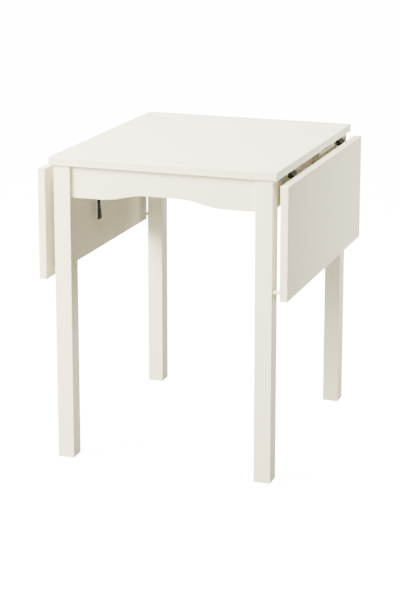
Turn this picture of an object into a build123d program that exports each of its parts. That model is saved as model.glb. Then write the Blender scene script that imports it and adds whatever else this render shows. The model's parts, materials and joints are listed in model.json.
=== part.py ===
from build123d import *
import os

# A small table with a drop leaf on each long side and four fixed legs.
# X runs across the top (right is +X), Y runs along the leaves (front is -Y), Z is up.
# The origin is on the floor, under the middle of the top. All sizes are in millimetres.
# The right side is modelled, and a half turn about Z carries its pieces to the left side.

# Overall sizes
table_height = 740.0
top_width = 556.0
top_depth = 656.0
board_thickness = 19.0
leaf_drop = 267.0

# Frame
leg_section = 41.0
leg_inset_x = 10.5
leg_inset_y = 5.5
rail_thickness = 18.0
rail_height = 77.0
rail_recess = 8.0
arch_rise = 16.0
arch_half_width = 40.0
arch_shoulder_half_width = 150.0
board_edge_round = 1.2
wood_edge_round = 0.8
apron_edge_round = 1.5

# Foot glides
glide_radius = 12.0
glide_thickness = 2.0
glide_shank_radius = 3.0
glide_shank_length = 12.0

# Dowels
dowel_radius = 4.0
dowel_length = 40.0
dowel_in_leg = 18.0
dowel_edge_distance = 15.0
dowel_chamfer = 1.0

# Corner braces and leg bolts
brace_thickness = 2.5
brace_height = 44.0
brace_below_top = 27.0
brace_flange = 20.0
brace_leg_gap = 2.0
brace_screw_spacing = 14.0
bolt_radius = 4.0
bolt_in_leg = 26.0
bolt_beyond_brace = 14.0
nut_across_flats = 13.0
nut_height = 6.5
washer_radius = 9.0
washer_thickness = 1.6

# Angle brackets that hold the top
bracket_thickness = 2.0
bracket_flange = 26.0
bracket_width = 34.0
bracket_screw_pitch = 18.0
bracket_screw_offset = 16.0
apron_bracket_x = 120.0
side_bracket_y = 75.0

# Wood screws
screw_radius = 1.9
screw_length = 13.0
screw_head_radius = 3.8
screw_head_height = 2.0
screw_head_round = 0.9
brace_screw_length = 12.0

# Hinges
hinge_below_top = 9.25
hinge_inboard = 0.25
leaf_gap = 1.0
hinge_front_edge_distance = 126.0
hinge_back_edge_distance = 108.0
hinge_length = 36.0
knuckle_radius = 6.0
moving_knuckle_length = 17.4
knuckle_gap = 0.3
knuckle_relief = 0.6
pin_radius = 2.5
pin_head_radius = 4.2
pin_head_thickness = 1.5
plate_thickness = 2.5
plate_reach = 74.0
flap_reach = 60.0
flap_start = 1.0
plate_corner = 5.0
hinge_screw_first = 12.0
hinge_screw_second = 28.0
hinge_screw_half_pitch = 10.5
flap_screw_first = 22.0
flap_screw_second = 46.0

# Notches in the side rails
notch_depth = 40.0
notch_side_clearance = 3.0
arm_notch_width = 40.0

# Leaf bumpers
bumper_radius = 5.25
bumper_clearance = 0.3
bumper_round = 1.5
bumper_above_edge = 18.0
bumper_outboard = 14.0
bumper_inboard = 10.0

# Swing-out leaf supports
arm_pivot_inboard = 6.5
arm_pivot_y = 45.0
arm_width = 12.0
arm_hinge_gap = 32.0
arm_thickness = 6.5
arm_leaf_clearance = 0.7
pad_length = 24.0
pad_width = 10.0
pad_setback = 5.0
pad_clearance = 0.3
pad_round = 0.6
pad_corner = 3.3
shaft_radius = 4.0
shaft_clearance = 0.05
shoulder_radius = 5.5
shoulder_play = 0.3
shaft_end_gap = 0.3
shaft_below_lug = 32.0
lug_radius = 6.5
lug_thickness = 2.8
holder_thickness = 2.5
holder_screw_plate_width = 60.0
holder_screw_plate_drop = 28.0
holder_screw_pitch_y = 46.0
holder_screw_pitch_z = 14.0
cross_pin_radius = 1.25

# Turn handles on the supports
handle_socket_radius = 6.5
handle_socket_length = 36.0
handle_gap_under_lug = 1.0
handle_neck_length = 26.0
handle_thickness = 5.0
handle_neck_width = 9.0
handle_tip_width = 21.0
handle_waist_below_top = 138.0
handle_length = 194.0
handle_tip_rise = 3.0
handle_round = 1.0

# Clearances for pieces that seat in holes
seat_clearance = 0.05
hole_end_clearance = 1.0
cutter_length = 200.0

# Worked out from the sizes above
half_turn = 180.0
quarter_turn = 90.0
square_diagonal = 2**0.5
top_under = table_height - board_thickness
rail_bottom = top_under - rail_height
half_width = top_width / 2
half_depth = top_depth / 2
leg_outer_x = half_width - leg_inset_x
leg_outer_y = half_depth - leg_inset_y
leg_inner_x = leg_outer_x - leg_section
leg_inner_y = leg_outer_y - leg_section
leg_centre_x = leg_outer_x - leg_section / 2
leg_centre_y = leg_outer_y - leg_section / 2
side_face_x = leg_outer_x - rail_recess
side_inner_x = side_face_x - rail_thickness
side_centre_x = side_face_x - rail_thickness / 2
apron_face_y = leg_outer_y - rail_recess
apron_inner_y = apron_face_y - rail_thickness
apron_centre_y = apron_face_y - rail_thickness / 2
hinge_x = half_width - hinge_inboard
hinge_z = top_under - hinge_below_top
leaf_inner_x = hinge_x + hinge_below_top
leaf_top_z = hinge_z - leaf_gap - hinge_inboard
leaf_bottom_z = leaf_top_z - leaf_drop
pivot_x = half_width - arm_pivot_inboard
notch_bottom = top_under - notch_depth
arm_bottom = leaf_top_z + arm_leaf_clearance
arm_top = arm_bottom + arm_thickness
pad_top = top_under - pad_clearance
lug_bottom = notch_bottom + pad_clearance
shoulder_bottom = lug_bottom + lug_thickness + shoulder_play
shaft_bottom = lug_bottom - shaft_below_lug
handle_top = lug_bottom - handle_gap_under_lug
brace_middle_z = top_under - brace_below_top - brace_height / 2
dowel_levels = (rail_bottom + dowel_edge_distance, top_under - dowel_edge_distance)
hinge_front_y = hinge_front_edge_distance - half_depth
hinge_back_y = half_depth - hinge_back_edge_distance
hinge_places = (hinge_front_y, hinge_back_y)
arm_reach = hinge_back_y - hinge_length / 2 - arm_hinge_gap - arm_pivot_y
corners = [
    ("front_right", 1, -1),
    ("front_left", -1, -1),
    ("back_right", 1, 1),
    ("back_left", -1, 1),
]

os.makedirs("parts", exist_ok=True)


def save(part, label):
    """Name a finished piece and write its STEP file."""
    part.label = label
    export_step(part, f"parts/{label}.step")


def save_both(part, label):
    """Write a right-hand piece, and the same piece turned half round for the left side."""
    save(part, f"{label}_right")
    save(part.rotate(Axis.Z, half_turn), f"{label}_left")


def toward(origin, direction):
    """A place at origin whose own Z axis points along direction."""
    return Plane(origin=origin, z_dir=direction).location


def turned(locations):
    """The same places, carried half round the table to the other side."""
    return [Location((0, 0, 0), (0, 0, half_turn)) * place for place in locations]


def group(shape, places):
    """Copies of one small piece, as separate solids in one node."""
    with BuildPart() as copies:
        with Locations(*places):
            add(shape)
    return copies.part


def cut_holes(places, radius, depth, beyond=0.0):
    """Cut round holes in the piece being made, from each place against its own Z axis."""
    with Locations(*[place * Location((0, 0, beyond)) for place in places]):
        Cylinder(
            radius,
            depth + beyond,
            align=(Align.CENTER, Align.CENTER, Align.MAX),
            mode=Mode.SUBTRACT,
        )


def screw_holes(places):
    """Pilot holes for wood screws, in the piece being made."""
    cut_holes(places, screw_radius + seat_clearance, screw_length + hole_end_clearance)


def plate_holes(places):
    """Clearance holes for wood screws through a metal plate."""
    cut_holes(places, screw_radius + seat_clearance, screw_length, beyond=hole_end_clearance)


# Where the fasteners go. Each place is at the seat of a head, and its Z axis points out of the head.
brace_line = leg_inner_x + leg_inner_y - brace_leg_gap * square_diagonal
brace_inner_line = brace_line - brace_thickness * square_diagonal
brace_x = brace_line - apron_inner_y
brace_y = brace_line - side_inner_x
brace_levels = (
    brace_middle_z - brace_screw_spacing / 2,
    brace_middle_z + brace_screw_spacing / 2,
)
brace_seats = []
bolt_seats = {}
dowel_seats = []
for corner, sx, sy in corners:
    for level in brace_levels:
        apron_seat = (
            sx * (brace_x - brace_flange / 2),
            sy * (apron_inner_y - brace_thickness),
            level,
        )
        side_seat = (
            sx * (side_inner_x - brace_thickness),
            sy * (brace_y - brace_flange / 2),
            level,
        )
        brace_seats.append(toward(apron_seat, (0, -sy, 0)))
        brace_seats.append(toward(side_seat, (-sx, 0, 0)))
    bolt_seats[corner] = toward(
        (sx * leg_inner_x, sy * leg_inner_y, brace_middle_z), (-sx, -sy, 0)
    )
    for level in dowel_levels:
        dowel_seats.append(toward((sx * leg_inner_x, sy * apron_centre_y, level), (sx, 0, 0)))
        dowel_seats.append(toward((sx * side_centre_x, sy * leg_inner_y, level), (0, sy, 0)))

top_bracket_places = {
    "front_right": Location((apron_bracket_x, -apron_inner_y, top_under)),
    "front_left": Location((-apron_bracket_x, -apron_inner_y, top_under)),
    "back_right": Location((apron_bracket_x, apron_inner_y, top_under), (0, 0, half_turn)),
    "back_left": Location((-apron_bracket_x, apron_inner_y, top_under), (0, 0, half_turn)),
    "side_right": Location((side_inner_x, -side_bracket_y, top_under), (0, 0, quarter_turn)),
    "side_left": Location((-side_inner_x, side_bracket_y, top_under), (0, 0, -quarter_turn)),
}
bracket_rail_seats = [
    toward((across, bracket_thickness, -bracket_screw_offset), (0, 1, 0))
    for across in (-bracket_screw_pitch / 2, bracket_screw_pitch / 2)
]
bracket_top_seats = [
    toward((across, bracket_screw_offset, -bracket_thickness), (0, 0, -1))
    for across in (-bracket_screw_pitch / 2, bracket_screw_pitch / 2)
]
rail_screw_seats = [
    place * seat for place in top_bracket_places.values() for seat in bracket_rail_seats
]
top_screw_seats = [
    place * seat for place in top_bracket_places.values() for seat in bracket_top_seats
]

plate_seats = []
flap_seats = []
for hinge_y in hinge_places:
    plate_spots = [
        (hinge_screw_first, -hinge_screw_half_pitch),
        (hinge_screw_first, hinge_screw_half_pitch),
        (hinge_screw_second, 0.0),
    ]
    for reach, across in plate_spots:
        spot = (
            hinge_x - plate_reach + reach,
            hinge_y + across,
            top_under - plate_thickness,
        )
        plate_seats.append(toward(spot, (0, 0, -1)))
    flap_spots = [
        (flap_screw_first, -hinge_screw_half_pitch),
        (flap_screw_first, hinge_screw_half_pitch),
        (flap_screw_second, 0.0),
    ]
    for reach, across in flap_spots:
        spot = (leaf_inner_x - plate_thickness, hinge_y + across, hinge_z - reach)
        flap_seats.append(toward(spot, (-1, 0, 0)))

holder_seats = [
    toward((side_inner_x - holder_thickness, arm_pivot_y + across, notch_bottom - drop), (-1, 0, 0))
    for across in (-holder_screw_pitch_y / 2, holder_screw_pitch_y / 2)
    for drop in (
        (holder_screw_plate_drop - holder_screw_pitch_z) / 2,
        (holder_screw_plate_drop + holder_screw_pitch_z) / 2,
    )
]


# Boards
with BuildPart() as table_top:
    with BuildSketch(Plane.XY.offset(top_under)):
        Rectangle(top_width, top_depth)
    extrude(amount=board_thickness)
    fillet(table_top.edges(), board_edge_round)
    screw_holes(top_screw_seats + plate_seats + turned(plate_seats))
save(table_top.part, "table_top")

with BuildPart() as leaf:
    with BuildSketch(Plane.YZ.offset(leaf_inner_x)):
        with Locations((0, leaf_top_z - leaf_drop / 2)):
            Rectangle(top_depth, leaf_drop)
    extrude(amount=board_thickness)
    fillet(leaf.edges(), board_edge_round)
    screw_holes(flap_seats)
save_both(leaf.part, "leaf")

# Legs, each with its dowel, bolt and glide holes
for corner, sx, sy in corners:
    with BuildPart() as leg:
        with BuildSketch(Plane.XY.offset(glide_thickness)):
            with Locations((sx * leg_centre_x, sy * leg_centre_y)):
                Rectangle(leg_section, leg_section)
        extrude(amount=top_under - glide_thickness)
        fillet(leg.edges().filter_by(Axis.Z), wood_edge_round)
        chamfer(leg.edges().group_by(Axis.Z)[0], wood_edge_round)
        for seat in dowel_seats:
            with Locations(seat):
                Cylinder(
                    dowel_radius + seat_clearance,
                    dowel_in_leg + hole_end_clearance,
                    align=(Align.CENTER, Align.CENTER, Align.MIN),
                    mode=Mode.SUBTRACT,
                )
        cut_holes(
            [bolt_seats[corner]],
            bolt_radius + seat_clearance,
            bolt_in_leg + hole_end_clearance,
            beyond=bolt_beyond_brace,
        )
        with Locations((sx * leg_centre_x, sy * leg_centre_y, glide_thickness)):
            Cylinder(
                glide_shank_radius + seat_clearance,
                glide_shank_length + hole_end_clearance,
                align=(Align.CENTER, Align.CENTER, Align.MIN),
                mode=Mode.SUBTRACT,
            )
    save(leg.part, f"leg_{corner}")

    with BuildPart() as glide:
        with BuildSketch():
            with Locations((sx * leg_centre_x, sy * leg_centre_y)):
                Circle(glide_radius)
        extrude(amount=glide_thickness)
        with BuildSketch():
            with Locations((sx * leg_centre_x, sy * leg_centre_y)):
                Circle(glide_shank_radius)
        extrude(amount=glide_thickness + glide_shank_length)
    save(glide.part, f"glide_{corner}")

# Front and back aprons, with a low arch along the bottom edge
with BuildPart() as apron:
    with BuildSketch(Plane.XZ.offset(apron_inner_y)):
        with BuildLine():
            end_right = (leg_inner_x, rail_bottom)
            shoulder_right = (arch_shoulder_half_width, rail_bottom)
            crown_right = (arch_half_width, rail_bottom + arch_rise)
            crown_left = (-arch_half_width, rail_bottom + arch_rise)
            shoulder_left = (-arch_shoulder_half_width, rail_bottom)
            end_left = (-leg_inner_x, rail_bottom)
            Line(end_right, shoulder_right)
            Spline(shoulder_right, crown_right, tangents=[(-1, 0), (-1, 0)])
            Line(crown_right, crown_left)
            Spline(crown_left, shoulder_left, tangents=[(-1, 0), (-1, 0)])
            Line(shoulder_left, end_left)
            Polyline(end_left, (-leg_inner_x, top_under), (leg_inner_x, top_under), end_right)
        make_face()
    extrude(amount=rail_thickness)
    bottom_edges = apron.faces().sort_by(Axis.Y)[0].edges().filter_by_position(
        Axis.Z, rail_bottom - 1, rail_bottom + arch_rise + 1
    )
    fillet(bottom_edges, apron_edge_round)
    screw_holes(rail_screw_seats + brace_seats)
    cut_holes(
        dowel_seats, dowel_radius + seat_clearance, dowel_length - dowel_in_leg + hole_end_clearance
    )
save(apron.part, "apron_front")
save(apron.part.rotate(Axis.Z, half_turn), "apron_back")

# Side rails, notched along the top for the hinges and for the leaf support
with BuildPart() as side_rail:
    with BuildSketch(Plane.YZ.offset(side_inner_x)):
        with Locations((0, rail_bottom + rail_height / 2)):
            Rectangle(2 * leg_inner_y, rail_height)
        for hinge_y in hinge_places:
            with Locations((hinge_y, top_under)):
                Rectangle(
                    hinge_length + 2 * notch_side_clearance, 2 * notch_depth, mode=Mode.SUBTRACT
                )
        with Locations((arm_pivot_y, top_under)):
            Rectangle(arm_notch_width, 2 * notch_depth, mode=Mode.SUBTRACT)
    extrude(amount=rail_thickness)
    fillet(side_rail.edges().filter_by(Axis.Y).group_by(Axis.Z)[0], wood_edge_round)
    screw_holes(rail_screw_seats + brace_seats + holder_seats)
    cut_holes(
        dowel_seats, dowel_radius + seat_clearance, dowel_length - dowel_in_leg + hole_end_clearance
    )
save_both(side_rail.part, "side_rail")


# Fasteners, each made once and then placed as a group
def wood_screw(length):
    """A pan-head wood screw along Z, with the underside of its head at the origin."""
    with BuildPart() as screw:
        with BuildSketch(Plane.XZ):
            with BuildLine():
                Polyline(
                    (0, screw_head_height),
                    (0, -length),
                    (screw_radius, screw_radius - length),
                    (screw_radius, 0),
                    (screw_head_radius, 0),
                    (screw_head_radius, screw_head_height - screw_head_round),
                )
                RadiusArc(
                    (screw_head_radius, screw_head_height - screw_head_round),
                    (screw_head_radius - screw_head_round, screw_head_height),
                    -screw_head_round,
                )
                Line((screw_head_radius - screw_head_round, screw_head_height), (0, screw_head_height))
            make_face()
        revolve(axis=Axis.Z)
    return screw.part


screw = wood_screw(screw_length)
save(group(wood_screw(brace_screw_length), brace_seats), "brace_screws")
save(group(screw, rail_screw_seats + top_screw_seats), "bracket_screws")
save(group(screw, plate_seats + turned(plate_seats)), "hinge_screws")
save(group(screw, holder_seats + turned(holder_seats)), "holder_screws")
save_both(group(screw, flap_seats), "flap_screws")

with BuildPart() as dowel:
    with Locations((0, 0, dowel_in_leg)):
        Cylinder(dowel_radius, dowel_length, align=(Align.CENTER, Align.CENTER, Align.MAX))
    chamfer(dowel.edges().filter_by(GeomType.CIRCLE), dowel_chamfer)
save(group(dowel.part, dowel_seats), "dowels")

with BuildPart() as leg_bolt:
    with Locations((0, 0, bolt_beyond_brace)):
        Cylinder(
            bolt_radius,
            bolt_beyond_brace + bolt_in_leg,
            align=(Align.CENTER, Align.CENTER, Align.MAX),
        )
    chamfer(leg_bolt.edges().filter_by(GeomType.CIRCLE), dowel_chamfer)
save(group(leg_bolt.part, bolt_seats.values()), "leg_bolts")

washer_seat = brace_leg_gap + brace_thickness
with BuildPart() as washer:
    with BuildSketch(Plane.XY.offset(washer_seat)):
        Circle(washer_radius)
        Circle(bolt_radius + seat_clearance, mode=Mode.SUBTRACT)
    extrude(amount=washer_thickness)
save(group(washer.part, bolt_seats.values()), "leg_washers")

with BuildPart() as nut:
    with BuildSketch(Plane.XY.offset(washer_seat + washer_thickness)):
        RegularPolygon(nut_across_flats / 2, 6, major_radius=False)
        Circle(bolt_radius + seat_clearance, mode=Mode.SUBTRACT)
    extrude(amount=nut_height)
save(group(nut.part, bolt_seats.values()), "leg_nuts")

# Corner braces, bent from strip: a flange on each rail and a web across the corner
for corner, sx, sy in corners:
    outline = [
        (brace_x - brace_flange, apron_inner_y),
        (brace_x, apron_inner_y),
        (side_inner_x, brace_y),
        (side_inner_x, brace_y - brace_flange),
        (side_inner_x - brace_thickness, brace_y - brace_flange),
        (side_inner_x - brace_thickness, brace_inner_line - side_inner_x + brace_thickness),
        (brace_inner_line - apron_inner_y + brace_thickness, apron_inner_y - brace_thickness),
        (brace_x - brace_flange, apron_inner_y - brace_thickness),
    ]
    with BuildPart() as brace:
        with BuildSketch(Plane.XY.offset(brace_middle_z - brace_height / 2)):
            with BuildLine():
                Polyline([(sx * px, sy * py) for px, py in outline], close=True)
            make_face()
        extrude(amount=brace_height)
        plate_holes(brace_seats)
        cut_holes(
            [bolt_seats[corner]], bolt_radius + seat_clearance, bolt_in_leg, beyond=bolt_beyond_brace
        )
    save(brace.part, f"corner_brace_{corner}")

# Angle brackets under the top
with BuildPart() as bracket:
    with BuildSketch(Plane.YZ.offset(-bracket_width / 2)):
        with BuildLine():
            Polyline(
                [
                    (0, 0),
                    (bracket_flange, 0),
                    (bracket_flange, -bracket_thickness),
                    (bracket_thickness, -bracket_thickness),
                    (bracket_thickness, -bracket_flange),
                    (0, -bracket_flange),
                ],
                close=True,
            )
        make_face()
    extrude(amount=bracket_width)
    plate_holes(bracket_rail_seats + bracket_top_seats)
for corner, place in top_bracket_places.items():
    save(place * bracket.part, f"top_bracket_{corner}")

# Hinges: a fixed plate under the top, a flap on the leaf, and a pin along Y
pin_hole_radius = pin_radius + seat_clearance
fixed_knuckle_length = (hinge_length - moving_knuckle_length) / 2 - knuckle_gap
knuckle_foot = hinge_below_top - plate_thickness
for hinge_name, hinge_y in zip(("front", "back"), hinge_places):
    pin_line = Plane(origin=(hinge_x, hinge_y, hinge_z), z_dir=(0, 1, 0))
    with BuildPart() as hinge_plate:
        with BuildSketch(Plane.XY.offset(top_under - plate_thickness)):
            with Locations((hinge_x - plate_reach / 2, hinge_y)):
                Rectangle(plate_reach, hinge_length)
            with Locations((hinge_x, hinge_y)):
                Rectangle(
                    2 * (knuckle_radius + knuckle_relief),
                    moving_knuckle_length + 2 * knuckle_gap,
                    mode=Mode.SUBTRACT,
                )
        extrude(amount=plate_thickness)
        fillet(hinge_plate.edges().filter_by(Axis.Z).group_by(Axis.X)[0], plate_corner)
        for end in (-1, 1):
            middle = end * (hinge_length - fixed_knuckle_length) / 2
            with Locations(pin_line.location * Location((0, 0, middle))):
                Cylinder(knuckle_radius, fixed_knuckle_length)
            foot_spot = (hinge_x - knuckle_radius / 2, hinge_y + middle, hinge_z + knuckle_foot / 2)
            with Locations(foot_spot):
                Box(knuckle_radius, fixed_knuckle_length, knuckle_foot)
        with Locations(pin_line.location):
            Cylinder(pin_hole_radius, 2 * hinge_length, mode=Mode.SUBTRACT)
        plate_holes(plate_seats)
    side_names = {"front": ("front_right", "back_left"), "back": ("back_right", "front_left")}
    right_name, left_name = side_names[hinge_name]
    save(hinge_plate.part, f"hinge_plate_{right_name}")
    save(hinge_plate.part.rotate(Axis.Z, half_turn), f"hinge_plate_{left_name}")

    with BuildPart() as hinge_flap:
        with BuildSketch(Plane.YZ.offset(leaf_inner_x - plate_thickness)):
            wide_top = knuckle_radius + knuckle_relief
            with Locations((hinge_y, hinge_z - (wide_top + flap_reach) / 2)):
                Rectangle(hinge_length, flap_reach - wide_top)
            with Locations((hinge_y, hinge_z - (flap_start + flap_reach) / 2)):
                Rectangle(moving_knuckle_length, flap_reach - flap_start)
        extrude(amount=plate_thickness)
        fillet(hinge_flap.edges().filter_by(Axis.X).group_by(Axis.Z)[0], plate_corner)
        with Locations((hinge_x + knuckle_foot / 2, hinge_y, hinge_z - knuckle_radius / 2)):
            Box(knuckle_foot, moving_knuckle_length, knuckle_radius)
        with Locations(pin_line.location):
            Cylinder(knuckle_radius, moving_knuckle_length)
            Cylinder(pin_hole_radius, 2 * hinge_length, mode=Mode.SUBTRACT)
        plate_holes(flap_seats)
    save(hinge_flap.part, f"hinge_flap_{right_name}")
    save(hinge_flap.part.rotate(Axis.Z, half_turn), f"hinge_flap_{left_name}")

with BuildPart() as hinge_pin:
    Cylinder(pin_radius, hinge_length)
    for end in (-1, 1):
        with Locations((0, 0, end * (hinge_length + pin_head_thickness) / 2)):
            Cylinder(pin_head_radius, pin_head_thickness)
pin_places = [toward((hinge_x, hinge_y, hinge_z), (0, 1, 0)) for hinge_y in hinge_places]
save(group(hinge_pin.part, pin_places + turned(pin_places)), "hinge_pins")

# Bumpers that hold a hanging leaf off the legs
bumper_length = leaf_inner_x - leg_outer_x - bumper_clearance
with BuildPart() as bumper:
    Cylinder(bumper_radius, bumper_length, align=(Align.CENTER, Align.CENTER, Align.MIN))
    fillet(bumper.edges().filter_by(GeomType.CIRCLE).sort_by(Axis.Z)[-1], bumper_round)
bumper_z = leaf_bottom_z + bumper_above_edge
for right_name, left_name, bumper_y in (
    ("front_right", "back_left", -leg_centre_y - bumper_outboard),
    ("back_right", "front_left", leg_centre_y - bumper_inboard),
):
    seated = toward((leaf_inner_x, bumper_y, bumper_z), (-1, 0, 0)) * bumper.part
    save(seated, f"bumper_{right_name}")
    save(seated.rotate(Axis.Z, half_turn), f"bumper_{left_name}")

# Leaf supports: a holder in the rail's middle notch, a shaft, an arm and a turn handle
with BuildPart() as arm_holder:
    holder_plane = Plane.YZ.offset(side_inner_x - holder_thickness)
    with BuildSketch(holder_plane):
        with Locations((arm_pivot_y, notch_bottom - holder_screw_plate_drop / 2)):
            Rectangle(holder_screw_plate_width, holder_screw_plate_drop)
        with Locations((arm_pivot_y, (top_under + lug_bottom) / 2)):
            Rectangle(2 * lug_radius, top_under - lug_bottom)
        with Locations((arm_pivot_y, notch_bottom)):
            Rectangle(2 * lug_radius, holder_screw_plate_drop)
    extrude(amount=holder_thickness)
    for lug_level in (lug_bottom, top_under - lug_thickness):
        with BuildSketch(Plane.XY.offset(lug_level)):
            lug_root = side_inner_x - holder_thickness
            with Locations(((lug_root + pivot_x) / 2, arm_pivot_y)):
                Rectangle(pivot_x - lug_root, 2 * lug_radius)
            with Locations((pivot_x, arm_pivot_y)):
                Circle(lug_radius)
        extrude(amount=lug_thickness)
    with Locations((pivot_x, arm_pivot_y, top_under)):
        Cylinder(shaft_radius + shaft_clearance, cutter_length, mode=Mode.SUBTRACT)
    plate_holes(holder_seats)
save_both(arm_holder.part, "arm_holder")

pivot = (pivot_x, arm_pivot_y)
arm_pin_z = (arm_bottom + arm_top) / 2
handle_pin_z = (handle_top + shaft_bottom) / 2
arm_pin_line = Plane(origin=(pivot_x, arm_pivot_y, arm_pin_z), z_dir=(1, 0, 0))
handle_pin_line = Plane(origin=(pivot_x, arm_pivot_y, handle_pin_z), z_dir=(1, 0, 0))


def cross_pin_hole(line):
    """A hole for a cross pin, along X through the piece being made."""
    with Locations(line.location):
        Cylinder(cross_pin_radius + seat_clearance, cutter_length, mode=Mode.SUBTRACT)


with BuildPart() as arm_shaft:
    with BuildSketch(Plane.XY.offset(shaft_bottom)):
        with Locations(pivot):
            Circle(shaft_radius)
    extrude(amount=top_under - shaft_end_gap - shaft_bottom)
    with BuildSketch(Plane.XY.offset(shoulder_bottom)):
        with Locations(pivot):
            Circle(shoulder_radius)
    extrude(amount=arm_bottom - shoulder_bottom)
    cross_pin_hole(arm_pin_line)
    cross_pin_hole(handle_pin_line)
save_both(arm_shaft.part, "arm_shaft")

arm_span = arm_reach - arm_width / 2
with BuildPart() as support_arm:
    with BuildSketch(Plane.XY.offset(arm_bottom)):
        with Locations((pivot_x, arm_pivot_y + arm_span / 2)):
            SlotCenterToCenter(arm_span, arm_width, rotation=quarter_turn)
        with Locations(pivot):
            Circle(shaft_radius + seat_clearance, mode=Mode.SUBTRACT)
    extrude(amount=arm_thickness)
    cross_pin_hole(arm_pin_line)
save_both(support_arm.part, "support_arm")

with BuildPart() as arm_pad:
    pad_middle = arm_pivot_y + arm_reach - pad_setback - pad_length / 2
    with BuildSketch(Plane.XY.offset(arm_top)):
        with Locations((pivot_x, pad_middle)):
            RectangleRounded(pad_width, pad_length, pad_corner)
    extrude(amount=pad_top - arm_top)
    fillet(arm_pad.faces().sort_by(Axis.Z)[-1].edges(), pad_round)
save_both(arm_pad.part, "arm_pad")

with BuildPart() as arm_pins:
    with Locations(arm_pin_line.location):
        Cylinder(cross_pin_radius, arm_width - 2 * hole_end_clearance)
    with Locations(handle_pin_line.location):
        Cylinder(cross_pin_radius, 2 * handle_socket_radius - 2 * hole_end_clearance)
save_both(arm_pins.part, "arm_pins")

# The turn handle: a socket on the shaft, a neck, and a flat blade that widens downwards
socket_bottom = handle_top - handle_socket_length
neck_bottom = socket_bottom - handle_neck_length
blade_bottom = top_under - handle_length
waist_z = top_under - handle_waist_below_top
near_edge = arm_pivot_y + handle_neck_width / 2
far_edge = arm_pivot_y - handle_neck_width / 2
with BuildPart() as arm_handle:
    with BuildSketch(Plane.XY.offset(socket_bottom)):
        with Locations(pivot):
            Circle(handle_socket_radius)
    extrude(amount=handle_socket_length)
    with BuildSketch(Plane.XY.offset(socket_bottom)):
        with Locations(pivot):
            Circle(handle_socket_radius)
    with BuildSketch(Plane.XY.offset(neck_bottom)):
        with Locations(pivot):
            Ellipse(handle_thickness / 2, handle_neck_width / 2)
    loft()
    with BuildSketch(Plane.YZ.offset(pivot_x - handle_thickness / 2)):
        with BuildLine():
            Polyline(
                [
                    (near_edge, neck_bottom + handle_neck_width),
                    (near_edge, blade_bottom),
                    (near_edge - handle_tip_width, blade_bottom + handle_tip_rise),
                    (far_edge, waist_z),
                    (far_edge, neck_bottom + handle_neck_width),
                ],
                close=True,
            )
        make_face()
    extrude(amount=handle_thickness)
    fillet(arm_handle.faces().sort_by(Axis.Z)[0].edges(), handle_round)
    cut_holes(
        [Location((pivot_x, arm_pivot_y, handle_top))],
        shaft_radius + seat_clearance,
        handle_top - shaft_bottom + hole_end_clearance,
    )
    cross_pin_hole(handle_pin_line)
save_both(arm_handle.part, "arm_handle")
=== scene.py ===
"""A small white drop-leaf table: its coats, its fittings and the stage it stands on.

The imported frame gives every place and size. Boards, legs, rails and the supports' holders, arms, shafts and
pins keep the frame's own shapes and get a finish. The other fittings are worked out here as numpy surfaces
and stand for the frame's plain ones.
"""

import json
import math

import bmesh
import bpy
import numpy as np
from bpy.props import FloatProperty, FloatVectorProperty, IntProperty, PointerProperty
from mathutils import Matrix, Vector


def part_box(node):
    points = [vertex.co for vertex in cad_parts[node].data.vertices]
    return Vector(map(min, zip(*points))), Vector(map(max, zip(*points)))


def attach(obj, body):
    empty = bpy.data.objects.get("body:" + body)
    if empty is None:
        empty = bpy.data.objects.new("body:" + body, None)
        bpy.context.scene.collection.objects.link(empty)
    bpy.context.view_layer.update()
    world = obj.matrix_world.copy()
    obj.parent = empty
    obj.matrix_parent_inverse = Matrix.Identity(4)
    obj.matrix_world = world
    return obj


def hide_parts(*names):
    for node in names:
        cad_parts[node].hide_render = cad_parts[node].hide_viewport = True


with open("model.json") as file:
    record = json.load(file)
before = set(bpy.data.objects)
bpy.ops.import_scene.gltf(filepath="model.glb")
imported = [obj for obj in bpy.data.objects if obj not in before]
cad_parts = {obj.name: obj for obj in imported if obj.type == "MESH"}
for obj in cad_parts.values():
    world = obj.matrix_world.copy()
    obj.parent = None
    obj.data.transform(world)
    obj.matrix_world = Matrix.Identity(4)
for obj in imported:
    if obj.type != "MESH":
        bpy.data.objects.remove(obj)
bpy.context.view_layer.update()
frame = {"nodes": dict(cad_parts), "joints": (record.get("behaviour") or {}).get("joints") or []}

bl_info = {
    "name": "Drop-leaf table",
    "version": (1, 0, 0),
    "blender": (4, 5, 0),
    "location": "View3D > Sidebar > Table",
    "description": "Coats and fittings of a drop-leaf table, and a plain stage for it",
    "category": "Object",
}

MM = 0.001
CORNERS = ("front_right", "front_left", "back_right", "back_left")
SIDES = ("right", "left")
FINE_AROUND = 48  # points round a handle or a fluted dowel
FULL_TURN = 2 * math.pi
QUARTER_TURN = math.pi / 2
ALONG_Y, ALONG_Z = (0, 1, 0), (0, 0, 1)


# ---------------------------------------------------------------- sizes and colours a user would change


def length(name, description, default):
    """A length in metres, shown in the scene's own unit."""
    return FloatProperty(
        name=name, description=description, default=default, min=0, unit="LENGTH", precision=4
    )


def colour(name, description, default):
    """A linear colour without alpha."""
    return FloatVectorProperty(
        name=name, description=description, default=default, subtype="COLOR", size=3, min=0, max=1
    )


def share(name, description, default):
    """A plain number from 0 to 1."""
    return FloatProperty(
        name=name, description=description, default=default, min=0, max=1, subtype="FACTOR"
    )


def strength(name, description, default):
    """The power of a light in watts, or the strength of a glow."""
    return FloatProperty(name=name, description=description, default=default, min=0)


def angle(name, description, degrees):
    """An angle, given here in degrees."""
    return FloatProperty(
        name=name, description=description, default=math.radians(degrees), unit="ROTATION"
    )


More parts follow.
